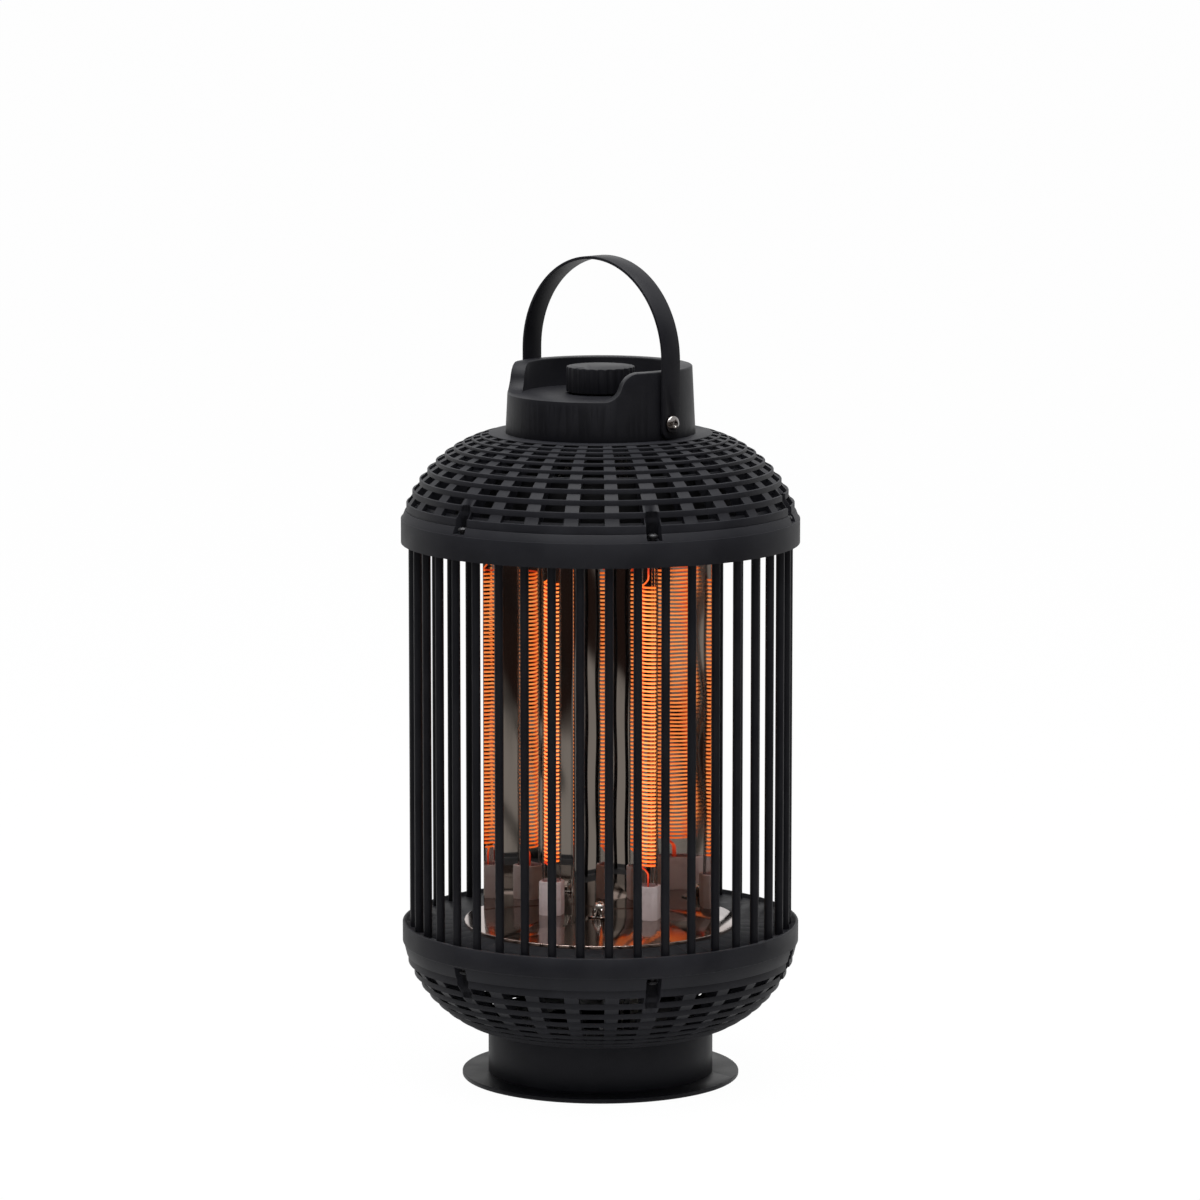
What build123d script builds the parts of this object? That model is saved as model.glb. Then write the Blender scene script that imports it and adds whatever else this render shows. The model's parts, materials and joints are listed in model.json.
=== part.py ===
from build123d import *
import math
import os

# Patio heater of the lantern kind. The origin is the centre of the underside of the feet,
# +Z is up, -Y is the front, where the wall round the knob is cut away, and the handle
# turns on the X axis. Every size is in millimetres and every angle in degrees.

# Foot
foot_radius = 98.0
foot_plate_thickness = 3.2
foot_edge_round = 0.8
pad_count = 6
pad_radius = 8.0
pad_height = 2.0
pad_pocket_depth = 1.2
pad_circle_radius = 84.0

# Pedestal
pedestal_radius = 79.5
pedestal_height = 34.4
pedestal_wall = 2.5
pedestal_top_plate = 2.5
pedestal_screw_count = 4
pedestal_screw_circle = 71.0
bowl_plate_screw_circle = 60.0
cable_opening_radius = 40.0

# The two rings that hold the cage
ring_radius = 140.0
ring_wall = 2.2
lower_ring_height = 14.5
upper_ring_height = 17.0
ring_edge_round = 0.7
floor_thickness = 3.0
tray_floor_depth = 2.5
web_rise = 5.2
web_opening_radius = 91.0

# Perforated shells: the bowl under the cage and the dome over it
shell_arc_radius = 82.3
shell_arc_centre = 60.1
dome_arc_drop = 20.2
bowl_arc_drop = 17.2
first_hoop_angle = 22.6
first_step_angle = 6.75
last_step_angle = 4.15
dome_rows = 10
bowl_rows = 8
hoop_wall = 1.3
hoop_lip = 0.9
hoop_chamfer = 0.35
tread_share = 0.54
shell_depth = 4.5
shell_plate = 2.4
shoulder_inset = 0.7
shoulder_taper = 2.3
dome_shoulder_height = 5.7
bowl_shoulder_height = 8.9
slots_per_row = 30
slot_angle = 7.7
slot_inset = 0.25
slot_overrun = 0.5
slot_sink = 0.15
dome_hole_radius = 50.0

# Screws that hold the shells to the rings
shell_screw_count = 6
shell_screw_circle = 134.0
recess_diameter = 8.2
recess_wall = 1.7
recess_floor = 3.4
screw_diameter = 4.0
screw_clearance = 0.5
screw_head_diameter = 7.2
screw_head_height = 2.6
screw_head_rim = 1.1
screw_slot_width = 1.1
screw_slot_length = 4.0
screw_slot_depth = 1.3
screw_length = 12.0
short_screw_length = 10.0
foot_screw_length = 11.0
countersunk_diameter = 7.2
post_diameter = 9.0
thread_clearance = 0.1
hole_spare = 1.0
cut_margin = 1.0

# Cage of round rods
rod_count = 42
rod_diameter = 6.0
rod_circle_radius = 132.0
spigot_diameter = 3.6
spigot_clearance = 0.4

# Heating chamber. Its fittings stand turned against the front
chamber_turn = 30.0
chamber_height = 278.0
disc_radius = 96.5
disc_sheet = 0.8
disc_height = 2.5
disc_edge_round = 0.6
ceiling_radius = 104.0
ceiling_sheet = 0.8
element_spacing = 70.6
element_setback = 8.0
element_shift = -2.6
cap_width = 16.0
cap_corner_cut = 3.0
cap_edge_chamfer = 0.5
cap_height = 24.2
cap_spigot_diameter = 8.0
cap_spigot_length = 8.0
cap_clearance = 0.4
cap_socket_depth = 7.0
cap_ring_diameter = 14.0
cap_ring_thickness = 0.8
tube_diameter = 13.6
tube_wall = 0.7
tube_fit = 0.1
coil_diameter = 11.8
coil_wire = 1.4
coil_turns = 50
coil_start_angle = 225.0
coil_lower_gap = 12.7
coil_upper_gap = 15.7
lead_rise = 6.0
lead_hole_diameter = 3.0
reflector_sheet = 0.8
ridge_depth = 27.5
trough_offset = 29.1
trough_depth = 38.0
wing_offset = 79.6
wing_depth = 9.3
wing_sag = 1.1
ridge_sag = -0.5
lip_length = 9.4
lip_angle = 50.0
rivet_diameter = 3.0
rivet_head_diameter = 6.0
rivet_head_height = 1.0
rivet_tail_diameter = 5.0
tab_width = 8.0
tab_length = 8.0
conduit_diameter = 12.0
conduit_wall = 1.0
conduit_setback = 66.0
conduit_end = 6.0
conduit_nut_width = 17.0
conduit_nut_height = 3.0

# Heat shield over the chamber
shield_radius = 106.0
shield_sheet = 1.0
shield_lip = 8.0
shield_wall = 32.0
spacer_height = 14.0
spacer_diameter = 10.0
spacer_circle = 97.0
spacer_count = 4
shield_hole_diameter = 14.0
cutout_offset = 50.0
cutout_diameter = 16.0
cutout_height = 9.0
cutout_flange_diameter = 24.0
cutout_flange_height = 1.2
cutout_tab_thickness = 0.8
cutout_tab_width = 6.0
cutout_tab_height = 8.0

# Control housing
housing_base_radius = 66.5
housing_top_radius = 64.2
housing_height = 47.4
housing_rim_width = 9.5
housing_skirt_radius = 62.0
deck_height = 27.7
deck_thickness = 3.0
rim_core_wall = 3.0
rim_core_angle = 200.0
cutaway_middle_angle = 58.0
cutaway_slope_width = 26.0
sector_overlap = 2.0
housing_screw_circle = 56.5
housing_screw_count = 4
housing_edge_round = 1.0

# Rotary switch and knob
switch_side = 38.0
switch_height = 21.0
switch_corner = 2.0
bush_diameter = 9.6
bush_height = 5.5
bush_nut_width = 14.0
bush_nut_height = 2.5
shaft_diameter = 6.0
shaft_flat = 1.4
shaft_clearance = 0.08
shaft_fit = 0.05
shaft_depth = 12.0
knob_radius = 24.1
knob_height = 17.4
knob_gap = 1.3
knob_wall = 2.6
knob_top_wall = 3.0
knob_hub_diameter = 13.0
knob_hub_gap = 0.6
knob_flutes = 24
knob_flute_radius = 3.4
knob_flute_depth = 0.75
knob_top_chamfer = 0.5
pointer_width = 1.4
pointer_length = 8.0
pointer_depth = 0.7

# Carrying handle
strap_width = 17.0
strap_thickness = 2.0
strap_inner_span = 67.0
strap_straight = 43.5
strap_end = 10.0
strap_corner = 6.0
pivot_height = 11.2
pivot_boss_diameter = 15.0
pivot_boss_face = 66.4
pivot_boss_back = 60.5
pivot_washer = 0.5
pivot_washer_diameter = 12.0
pivot_gap = 0.1
bolt_diameter = 6.0
bolt_head_diameter = 12.0
bolt_head_height = 4.2
bolt_head_rim = 1.5
bolt_socket_width = 4.0
bolt_socket_depth = 2.6
bolt_reach = 17.0
hinge_clearance = 0.2
nut_width = 10.0
nut_height = 5.0

# Nut and washer in the middle of the disc
disc_bolt_diameter = 6.0
disc_nut_width = 10.0
disc_washer_diameter = 17.0
disc_washer_height = 1.2
acorn_hex_height = 5.0
acorn_dome_radius = 4.6
bolt_hex_height = 4.0

# Switchgear and wiring inside
tilt_width = 26.0
tilt_depth = 20.0
tilt_height = 30.0
tilt_wall = 2.0
tilt_pin_diameter = 2.0
tilt_pin_depth = 5.0
tilt_arm_width = 3.0
tilt_arm_thickness = 3.0
tilt_arm_length = 13.0
tilt_eye_diameter = 6.0
tilt_weight_diameter = 8.0
tilt_weight_thickness = 6.0
tilt_offset = 34.0
terminal_length = 38.0
terminal_depth = 16.0
terminal_height = 12.0
terminal_offset = 30.0
terminal_exit = 34.0
terminal_pitch = 12.0
terminal_well_diameter = 5.0
terminal_well_depth = 8.0
gland_diameter = 16.0
gland_neck = 12.0
gland_bore = 8.0
gland_chamfer = 0.6
gland_flange = 4.0
gland_reach = 12.0
gland_inner_end = 68.0
gland_nut_seat = 76.2
gland_level = 21.0
gland_nut_width = 17.0
gland_nut_height = 4.0
wire_diameter = 2.4
cable_diameter = 6.0
wire_bend = 8.0
wire_low = 50.0
wire_high = 84.0
cable_rise = 12.0
switch_wire_offset = 12.0

os.makedirs("parts", exist_ok=True)


def polar(radius, angle):
    """Point at a radius and an angle in degrees, as x and y."""
    return radius * math.cos(math.radians(angle)), radius * math.sin(math.radians(angle))


def hoop_edges(rows, arc_drop):
    """Radius of each hoop's edge, and its distance from the ring, from the ring inwards."""
    change = (last_step_angle - first_step_angle) / (dome_rows - 1)
    angles = [first_hoop_angle + k * first_step_angle + change * k * (k - 1) / 2 for k in range(rows + 1)]
    points = [polar(shell_arc_radius, angle) for angle in angles]
    return [(shell_arc_centre + x, y - arc_drop) for x, y in points]


# Levels, worked out from the sizes above
dome_edges = hoop_edges(dome_rows, dome_arc_drop)
bowl_edges = hoop_edges(bowl_rows, bowl_arc_drop)
plate_bottom = pad_height - pad_pocket_depth
plate_top = plate_bottom + foot_plate_thickness
pedestal_top = plate_top + pedestal_height
ring_bottom = pedestal_top + bowl_edges[-1][1]
rim_top = ring_bottom + lower_ring_height
floor_top = rim_top - tray_floor_depth
floor_bottom = floor_top - floor_thickness
disc_top = floor_top + disc_height
chamber_top = disc_top + chamber_height
web_bottom = chamber_top - floor_thickness
upper_ring_bottom = web_bottom - web_rise
upper_ring_top = upper_ring_bottom + upper_ring_height
dome_top = upper_ring_top + dome_edges[-1][1]
deck_top = dome_top + deck_height
deck_bottom = deck_top - deck_thickness
housing_top = dome_top + housing_height
pivot_level = dome_top + pivot_height
knob_bottom = deck_top + knob_gap
knob_top = knob_bottom + knob_height
chamber_plane = Plane.XY.rotated((0, 0, chamber_turn))
rod_turn = -90 + 180 / rod_count
slot_turn = -90 + 180 / slots_per_row
screw_hole_depth = screw_length - recess_floor + hole_spare
element_places = [(element_shift + half * element_spacing / 2, element_setback) for half in (-1, 1)]
rivet_places = [
    (element_shift + half * trough_offset, element_setback + trough_depth + reflector_sheet + tab_length / 2)
    for half in (-1, 1)
]
socket_bottom = disc_top + cap_height - cap_socket_depth
socket_top = chamber_top - cap_height + cap_socket_depth
coil_bottom = disc_top + cap_height + coil_lower_gap
coil_top = chamber_top - cap_height - coil_upper_gap
hub_bottom = deck_bottom + bush_height + knob_hub_gap


def shell_outline(edges, shoulder_height):
    """Stepped outside of a shell, from the ring inwards, as radius and distance from the ring."""
    base = ring_radius - shoulder_inset
    points = [(base, 0.0), (base - shoulder_taper, shoulder_height), (edges[0][0], shoulder_height)]
    for (radius, level), following in zip(edges, edges[1:] + [None]):
        points.append((radius, level - hoop_chamfer))
        points.append((radius - hoop_chamfer, level))
        if following:
            points.append((radius - hoop_lip, level))
            points.append((following[0], level + tread_share * (following[1] - level)))
    return points


def shell_inside(edges, arc_drop):
    """Inside of a shell, from the ring inwards, a facet behind each hoop."""
    shrink = (shell_arc_radius - shell_depth) / shell_arc_radius
    flat = edges[-1][1] - shell_plate
    points = [
        (shell_arc_centre + (radius - shell_arc_centre) * shrink, (drop + arc_drop) * shrink - arc_drop)
        for radius, drop in edges
    ]
    foot = shell_arc_centre + math.sqrt((shell_arc_radius - shell_depth) ** 2 - arc_drop**2)
    points = [(foot, 0.0)] + [point for point in points if point[1] < flat - hoop_chamfer]
    return points + [(2 * points[-1][0] - points[-2][0], flat)]


def shell_blank(edges, shoulder_height, hole_radius, place):
    """Outside of a shell as a solid with a hole in the middle."""
    outline = [place(*p) for p in shell_outline(edges, shoulder_height)]
    with BuildPart() as blank:
        with BuildSketch(Plane.XZ):
            with BuildLine():
                Polyline(*outline, (hole_radius, outline[-1][1]), (hole_radius, outline[0][1]), close=True)
            make_face()
        revolve(axis=Axis.Z)
    return blank.part


def shell_cavity(edges, arc_drop, hole_radius, place):
    """Inside of a shell as a solid, less the bosses round the screw recesses."""
    inside = [place(*p) for p in shell_inside(edges, arc_drop)]
    start, end = sorted((inside[0][1], inside[-1][1]))
    with BuildPart() as cavity:
        with BuildSketch(Plane.XZ):
            with BuildLine():
                Polyline(*inside, (hole_radius, inside[-1][1]), (hole_radius, inside[0][1]), close=True)
            make_face()
        revolve(axis=Axis.Z)
        with BuildSketch(Plane.XY.offset(start)):
            with PolarLocations(shell_screw_circle, shell_screw_count, start_angle=-90):
                Circle(recess_diameter / 2 + recess_wall)
        extrude(amount=end - start, mode=Mode.SUBTRACT)
    return cavity.part


def slot_sector(inside, outside):
    """Edges of a slot's plan, between two radii, closed at both ends."""
    outer = CenterArc((0, 0), outside, -slot_angle / 2, slot_angle)
    inner = CenterArc((0, 0), inside, -slot_angle / 2, slot_angle)
    Line(outer @ 0, inner @ 0)
    Line(outer @ 1, inner @ 1)


def slot_column(edges, arc_drop, level, direction):
    """One column of slots. Each is a shaft between two hoops, open to the front over the lower hoop's lip."""
    inner_radius = shell_arc_radius - shell_depth
    with BuildPart() as column:
        for (radius, start), (following, end) in zip(edges, edges[1:]):
            outside = radius - hoop_wall
            low = math.sqrt(inner_radius**2 - (outside - shell_arc_centre) ** 2) - arc_drop - 2 * slot_overrun
            high = start + tread_share * (end - start)
            with BuildSketch(Plane.XY.offset(level + direction * low)):
                with BuildLine():
                    slot_sector(following + slot_inset, outside)
                make_face()
            extrude(amount=direction * (high - slot_sink - low))
            with BuildSketch(Plane.XY.offset(level + direction * (start - slot_sink))):
                with BuildLine():
                    slot_sector(following - hoop_wall - slot_overrun, radius - hoop_lip + slot_sink)
                make_face()
            extrude(amount=direction * (high - start + slot_sink))
    return column.part


def plain_shell(edges, arc_drop, shoulder_height, hole_radius, level, direction):
    """A shell with its screw recesses, before its slots are cut. direction is 1 for the dome and -1 for the
    bowl, and level is its ring's face."""

    def place(radius, distance):
        return radius, level + direction * distance

    blank = shell_blank(edges, shoulder_height, hole_radius, place)
    cavity = shell_cavity(edges, arc_drop, hole_radius, place)
    floor_level = place(0, recess_floor)[1]
    recess_end = place(0, edges[4][1])[1]
    with BuildPart() as shell:
        add(blank)
        add(cavity, mode=Mode.SUBTRACT)
        with BuildSketch(Plane.XY.offset(min(floor_level, recess_end))):
            with PolarLocations(shell_screw_circle, shell_screw_count, start_angle=-90):
                Circle(recess_diameter / 2)
        extrude(amount=abs(recess_end - floor_level), mode=Mode.SUBTRACT)
        with BuildSketch(Plane.XY.offset(min(level, floor_level))):
            with PolarLocations(shell_screw_circle, shell_screw_count, start_angle=-90):
                Circle((screw_diameter + screw_clearance) / 2)
        extrude(amount=recess_floor, mode=Mode.SUBTRACT)
    return shell.part


def pan_screw(length):
    """Pan head screw along Z with its head up, the head's underside at the origin and a cross recess."""
    head_radius = screw_head_diameter / 2
    with BuildPart() as fastener:
        with BuildSketch(Plane.XZ):
            with BuildLine():
                TangentArc((0, screw_head_height), (head_radius, screw_head_rim), tangent=(1, 0))
                Polyline((head_radius, screw_head_rim), (head_radius, 0), (screw_diameter / 2, 0),
                         (screw_diameter / 2, -length), (0, -length), (0, screw_head_height))
            make_face()
        revolve(axis=Axis.Z)
        with BuildSketch(Plane.XY.offset(screw_head_height)):
            Rectangle(screw_slot_length, screw_slot_width)
            Rectangle(screw_slot_width, screw_slot_length)
        extrude(amount=-screw_slot_depth, mode=Mode.SUBTRACT)
    return fastener.part


def round_bar(diameter, bottom, top, plane=Plane.XY, bore=0.0):
    """A straight round bar or tube along a plane's normal, from one distance to another."""
    with BuildPart() as bar:
        with BuildSketch(plane.offset(bottom)):
            Circle(diameter / 2)
            if bore:
                Circle(bore / 2, mode=Mode.SUBTRACT)
        extrude(amount=top - bottom)
    return bar.part


def hexagon_bar(width, bottom, top, plane=Plane.XY, bore=0.0):
    """A hexagon of a width across its flats along a plane's normal, from one distance to another."""
    with BuildPart() as bar:
        with BuildSketch(plane.offset(bottom)):
            RegularPolygon(width / 2, 6, major_radius=False)
            if bore:
                Circle(bore / 2, mode=Mode.SUBTRACT)
        extrude(amount=top - bottom)
    return bar.part


def biarc_joint(start, start_way, end, end_way):
    """Where two arcs meet that lead from one point and direction to another."""
    ways = start_way + end_way
    chord = end - start
    square = ways.length**2 - 4
    straight = 2 * chord.dot(ways)
    reach = (straight - math.sqrt(straight**2 - 4 * square * chord.length**2)) / (2 * square)
    return (start + start_way * reach + end - end_way * reach) * 0.5


def coil_station(turn):
    """Point on a heating coil after a number of turns, and the wire's direction there."""
    radius = (coil_diameter - coil_wire) / 2
    rise = (coil_top - coil_bottom) / coil_turns
    x, y = polar(radius, coil_start_angle + 360 * turn)
    return Vector(x, y, coil_bottom + rise * turn), Vector(-y, x, rise / (2 * math.pi)).normalized()


def least_gap(points, diameter, apart):
    """Least distance between the surfaces of a wire's stretches that are more than some points apart."""
    return min(
        math.dist(a, b) for i, a in enumerate(points) for b in points[i + apart : i + 3 * apart]
    ) - diameter


# Foot plate: a flat disc with pockets for the pads and countersunk holes for the pedestal's screws
with BuildPart() as foot_plate:
    with BuildSketch(Plane.XY.offset(plate_bottom)):
        Circle(foot_radius)
    extrude(amount=foot_plate_thickness)
    fillet(foot_plate.edges().filter_by(GeomType.CIRCLE), radius=foot_edge_round)
    with BuildSketch(Plane.XY.offset(plate_bottom)):
        with PolarLocations(pad_circle_radius, pad_count):
            Circle(pad_radius)
    extrude(amount=pad_pocket_depth, mode=Mode.SUBTRACT)
    with Locations(Plane.XY.offset(plate_bottom).rotated((180, 0, 0))):
        with PolarLocations(pedestal_screw_circle, pedestal_screw_count, start_angle=45):
            CounterSinkHole(
                (screw_diameter + screw_clearance) / 2, (countersunk_diameter + screw_clearance) / 2,
                depth=foot_plate_thickness + cut_margin,
            )
foot_plate.part.label = "foot_plate"
export_step(foot_plate.part, "parts/foot_plate.step")

with BuildPart() as foot_pads:
    with BuildSketch():
        with PolarLocations(pad_circle_radius, pad_count):
            Circle(pad_radius)
    extrude(amount=pad_height)
foot_pads.part.label = "foot_pads"
export_step(foot_pads.part, "parts/foot_pads.step")

# Countersunk screws that come up through the foot plate into the pedestal's posts
with BuildPart() as countersunk_screw:
    with BuildSketch(Plane.XZ):
        with BuildLine():
            cone = (countersunk_diameter - screw_diameter) / 2
            Polyline((0, 0), (countersunk_diameter / 2, 0), (screw_diameter / 2, cone),
                     (screw_diameter / 2, foot_screw_length), (0, foot_screw_length), close=True)
        make_face()
    revolve(axis=Axis.Z)
    with BuildSketch():
        Rectangle(screw_slot_length, screw_slot_width)
        Rectangle(screw_slot_width, screw_slot_length)
    extrude(amount=screw_slot_depth, mode=Mode.SUBTRACT)
with BuildPart() as foot_screws:
    with Locations((0, 0, plate_bottom)):
        with PolarLocations(pedestal_screw_circle, pedestal_screw_count, start_angle=45):
            add(countersunk_screw.part)
foot_screws.part.label = "foot_screws"
export_step(foot_screws.part, "parts/foot_screws.step")

# Pedestal: a cup with its closed face up, posts for the foot's screws and a hole for the gland
with BuildPart() as pedestal:
    with BuildSketch(Plane.XY.offset(plate_top)):
        Circle(pedestal_radius)
    extrude(amount=pedestal_height)
    with BuildSketch(Plane.XY.offset(plate_top)):
        Circle(pedestal_radius - pedestal_wall)
        with PolarLocations(pedestal_screw_circle, pedestal_screw_count, start_angle=45):
            Circle(post_diameter / 2, mode=Mode.SUBTRACT)
    extrude(amount=pedestal_height - pedestal_top_plate, mode=Mode.SUBTRACT)
    with BuildSketch(Plane.XY.offset(plate_bottom)):
        with PolarLocations(pedestal_screw_circle, pedestal_screw_count, start_angle=45):
            Circle(screw_diameter / 2 + thread_clearance)
    extrude(amount=foot_screw_length + hole_spare, mode=Mode.SUBTRACT)
    with BuildSketch(Plane.XY.offset(pedestal_top)):
        Circle(cable_opening_radius)
        with PolarLocations(bowl_plate_screw_circle, pedestal_screw_count, start_angle=45):
            Circle((screw_diameter + screw_clearance) / 2)
    extrude(amount=-pedestal_top_plate, mode=Mode.SUBTRACT)
    with BuildSketch(Plane.XZ.offset(-pedestal_radius - cut_margin)):
        with Locations((0, gland_level)):
            Circle(gland_neck / 2 + thread_clearance)
    extrude(amount=pedestal_wall + 2 * cut_margin, mode=Mode.SUBTRACT)
pedestal.part.label = "pedestal"
export_step(pedestal.part, "parts/pedestal.step")

shell_screw = pan_screw(screw_length)
short_screw = pan_screw(short_screw_length)

with BuildPart() as pedestal_screws:
    with Locations(Plane.XY.offset(pedestal_top - pedestal_top_plate).rotated((180, 0, 0))):
        with PolarLocations(bowl_plate_screw_circle, pedestal_screw_count, start_angle=45):
            add(short_screw)
pedestal_screws.part.label = "pedestal_screws"
export_step(pedestal_screws.part, "parts/pedestal_screws.step")

# Lower bowl, with posts on its flat floor for the pedestal's screws
bowl_shell = plain_shell(
    bowl_edges, bowl_arc_drop, bowl_shoulder_height, cable_opening_radius, ring_bottom, -1
)
bowl_slots = slot_column(bowl_edges, bowl_arc_drop, ring_bottom, -1)
with BuildPart() as lower_bowl:
    add(bowl_shell)
    with BuildSketch(Plane.XY.offset(pedestal_top + shell_plate / 2)):
        with PolarLocations(bowl_plate_screw_circle, pedestal_screw_count, start_angle=45):
            Circle(post_diameter / 2)
    extrude(amount=short_screw_length - shell_plate / 2)
    with BuildSketch(Plane.XY.offset(pedestal_top)):
        with PolarLocations(bowl_plate_screw_circle, pedestal_screw_count, start_angle=45):
            Circle(screw_diameter / 2 + thread_clearance)
    extrude(amount=short_screw_length - pedestal_top_plate + hole_spare, mode=Mode.SUBTRACT)
    with PolarLocations(0, slots_per_row, start_angle=slot_turn):
        add(bowl_slots, mode=Mode.SUBTRACT)
lower_bowl.part.label = "lower_bowl"
export_step(lower_bowl.part, "parts/lower_bowl.step")

with BuildPart() as bowl_screws:
    with Locations(Plane.XY.offset(ring_bottom - recess_floor).rotated((180, 0, 0))):
        with PolarLocations(shell_screw_circle, shell_screw_count, start_angle=-90):
            add(shell_screw)
bowl_screws.part.label = "bowl_screws"
export_step(bowl_screws.part, "parts/bowl_screws.step")

# Tray: the lower ring, its floor, the posts for the bowl's screws and the holes for rods and fittings
with BuildPart() as tray:
    with BuildSketch(Plane.XY.offset(ring_bottom)):
        Circle(ring_radius)
    extrude(amount=lower_ring_height)
    fillet(tray.edges().filter_by(GeomType.CIRCLE), radius=ring_edge_round)
    with BuildSketch(Plane.XY.offset(rim_top)):
        Circle(ring_radius - ring_wall)
    extrude(amount=-tray_floor_depth, mode=Mode.SUBTRACT)
    with BuildSketch(Plane.XY.offset(ring_bottom)):
        Circle(ring_radius - ring_wall)
        with PolarLocations(shell_screw_circle, shell_screw_count, start_angle=-90):
            Circle(post_diameter / 2, mode=Mode.SUBTRACT)
    extrude(amount=floor_bottom - ring_bottom, mode=Mode.SUBTRACT)
    with BuildSketch(Plane.XY.offset(ring_bottom)):
        with PolarLocations(shell_screw_circle, shell_screw_count, start_angle=-90):
            Circle(screw_diameter / 2 + thread_clearance)
    extrude(amount=screw_hole_depth, mode=Mode.SUBTRACT)
    with BuildSketch(Plane.XY.offset(floor_bottom)):
        with PolarLocations(rod_circle_radius, rod_count, start_angle=rod_turn):
            Circle((spigot_diameter + spigot_clearance) / 2)
    extrude(amount=floor_thickness, mode=Mode.SUBTRACT)
    with BuildSketch(chamber_plane.offset(floor_bottom)):
        with Locations(*element_places):
            Circle((cap_spigot_diameter + cap_clearance) / 2)
        with Locations((element_shift, element_setback)):
            Circle(disc_bolt_diameter / 2 + thread_clearance)
        with Locations((0, conduit_setback)):
            Circle(conduit_diameter / 2 + thread_clearance)
    extrude(amount=floor_thickness, mode=Mode.SUBTRACT)
tray.part.label = "tray"
export_step(tray.part, "parts/tray.step")

# Polished base disc: a thin sheet with its rim turned down onto the tray's floor
with BuildPart() as base_disc:
    with BuildSketch(Plane.XY.offset(floor_top)):
        Circle(disc_radius)
    extrude(amount=disc_height)
    fillet(base_disc.edges().filter_by(GeomType.CIRCLE).sort_by(Axis.Z)[-1], radius=disc_edge_round)
    with BuildSketch(Plane.XY.offset(floor_top)):
        Circle(disc_radius - disc_sheet)
    extrude(amount=disc_height - disc_sheet, mode=Mode.SUBTRACT)
    with BuildSketch(chamber_plane.offset(disc_top)):
        with Locations(*element_places):
            Circle((cap_spigot_diameter + cap_clearance) / 2)
        with Locations((element_shift, element_setback)):
            Circle(disc_bolt_diameter / 2 + thread_clearance)
        with Locations((0, conduit_setback)):
            Circle(conduit_diameter / 2 + thread_clearance)
        with Locations(*rivet_places):
            Circle(rivet_diameter / 2 + thread_clearance)
    extrude(amount=-disc_height, mode=Mode.SUBTRACT)
base_disc.part.label = "base_disc"
export_step(base_disc.part, "parts/base_disc.step")

# Bolt, washer and acorn nut in the middle of the disc
bolt_origin = chamber_plane.from_local_coords(Vector(element_shift, element_setback, 0))
bolt_plane = chamber_plane.shift_origin(bolt_origin)
with BuildPart() as disc_bolt:
    add(hexagon_bar(disc_nut_width, floor_bottom - bolt_hex_height, floor_bottom, bolt_plane))
    add(round_bar(disc_bolt_diameter, floor_bottom - bolt_hex_height / 2,
                  disc_top + disc_washer_height + acorn_hex_height, bolt_plane))
disc_bolt.part.label = "disc_bolt"
export_step(disc_bolt.part, "parts/disc_bolt.step")

with BuildPart() as disc_washer:
    add(round_bar(disc_washer_diameter, disc_top, disc_top + disc_washer_height, bolt_plane,
                  disc_bolt_diameter + 2 * thread_clearance))
disc_washer.part.label = "disc_washer"
export_step(disc_washer.part, "parts/disc_washer.step")

with BuildPart() as disc_nut:
    nut_plane = bolt_plane.offset(disc_top + disc_washer_height)
    with BuildSketch(nut_plane):
        RegularPolygon(disc_nut_width / 2, 6, major_radius=False)
    extrude(amount=acorn_hex_height)
    with BuildSketch(nut_plane):
        Circle(acorn_dome_radius)
    extrude(amount=acorn_hex_height)
    with Locations(nut_plane.offset(acorn_hex_height)):
        Sphere(acorn_dome_radius)
    with BuildSketch(nut_plane):
        Circle(disc_bolt_diameter / 2 + thread_clearance)
    extrude(amount=acorn_hex_height + hole_spare / 2, mode=Mode.SUBTRACT)
    split(bisect_by=nut_plane, keep=Keep.TOP)
disc_nut.part.label = "disc_nut"
export_step(disc_nut.part, "parts/disc_nut.step")

# Cage: round rods with a spigot at each end, through the tray's floor and the upper ring's web
with BuildPart() as rod:
    add(round_bar(spigot_diameter, floor_bottom, chamber_top))
    add(round_bar(rod_diameter, floor_top, web_bottom))
with BuildPart() as cage_rods:
    with PolarLocations(rod_circle_radius, rod_count, start_angle=rod_turn):
        add(rod.part)
cage_rods.part.label = "cage_rods"
export_step(cage_rods.part, "parts/cage_rods.step")

# Upper ring: a ring with a web over the chamber and posts for the dome's screws
with BuildPart() as upper_ring:
    with BuildSketch(Plane.XY.offset(upper_ring_bottom)):
        Circle(ring_radius)
        Circle(ring_radius - ring_wall, mode=Mode.SUBTRACT)
    extrude(amount=upper_ring_height)
    with BuildSketch(Plane.XY.offset(web_bottom)):
        Circle(ring_radius - ring_wall / 2)
        Circle(web_opening_radius, mode=Mode.SUBTRACT)
    extrude(amount=floor_thickness)
    with BuildSketch(Plane.XY.offset(chamber_top - floor_thickness / 2)):
        with PolarLocations(shell_screw_circle, shell_screw_count, start_angle=-90):
            Circle(post_diameter / 2)
    extrude(amount=upper_ring_top - chamber_top + floor_thickness / 2)
    with BuildSketch(Plane.XY.offset(upper_ring_top)):
        with PolarLocations(shell_screw_circle, shell_screw_count, start_angle=-90):
            Circle(screw_diameter / 2 + thread_clearance)
    extrude(amount=-screw_hole_depth, mode=Mode.SUBTRACT)
    with BuildSketch(Plane.XY.offset(web_bottom)):
        with PolarLocations(rod_circle_radius, rod_count, start_angle=rod_turn):
            Circle((spigot_diameter + spigot_clearance) / 2)
        with PolarLocations(spacer_circle, spacer_count, start_angle=45):
            Circle(screw_diameter / 2 + thread_clearance)
    extrude(amount=floor_thickness, mode=Mode.SUBTRACT)
upper_ring.part.label = "upper_ring"
export_step(upper_ring.part, "parts/upper_ring.step")

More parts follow.
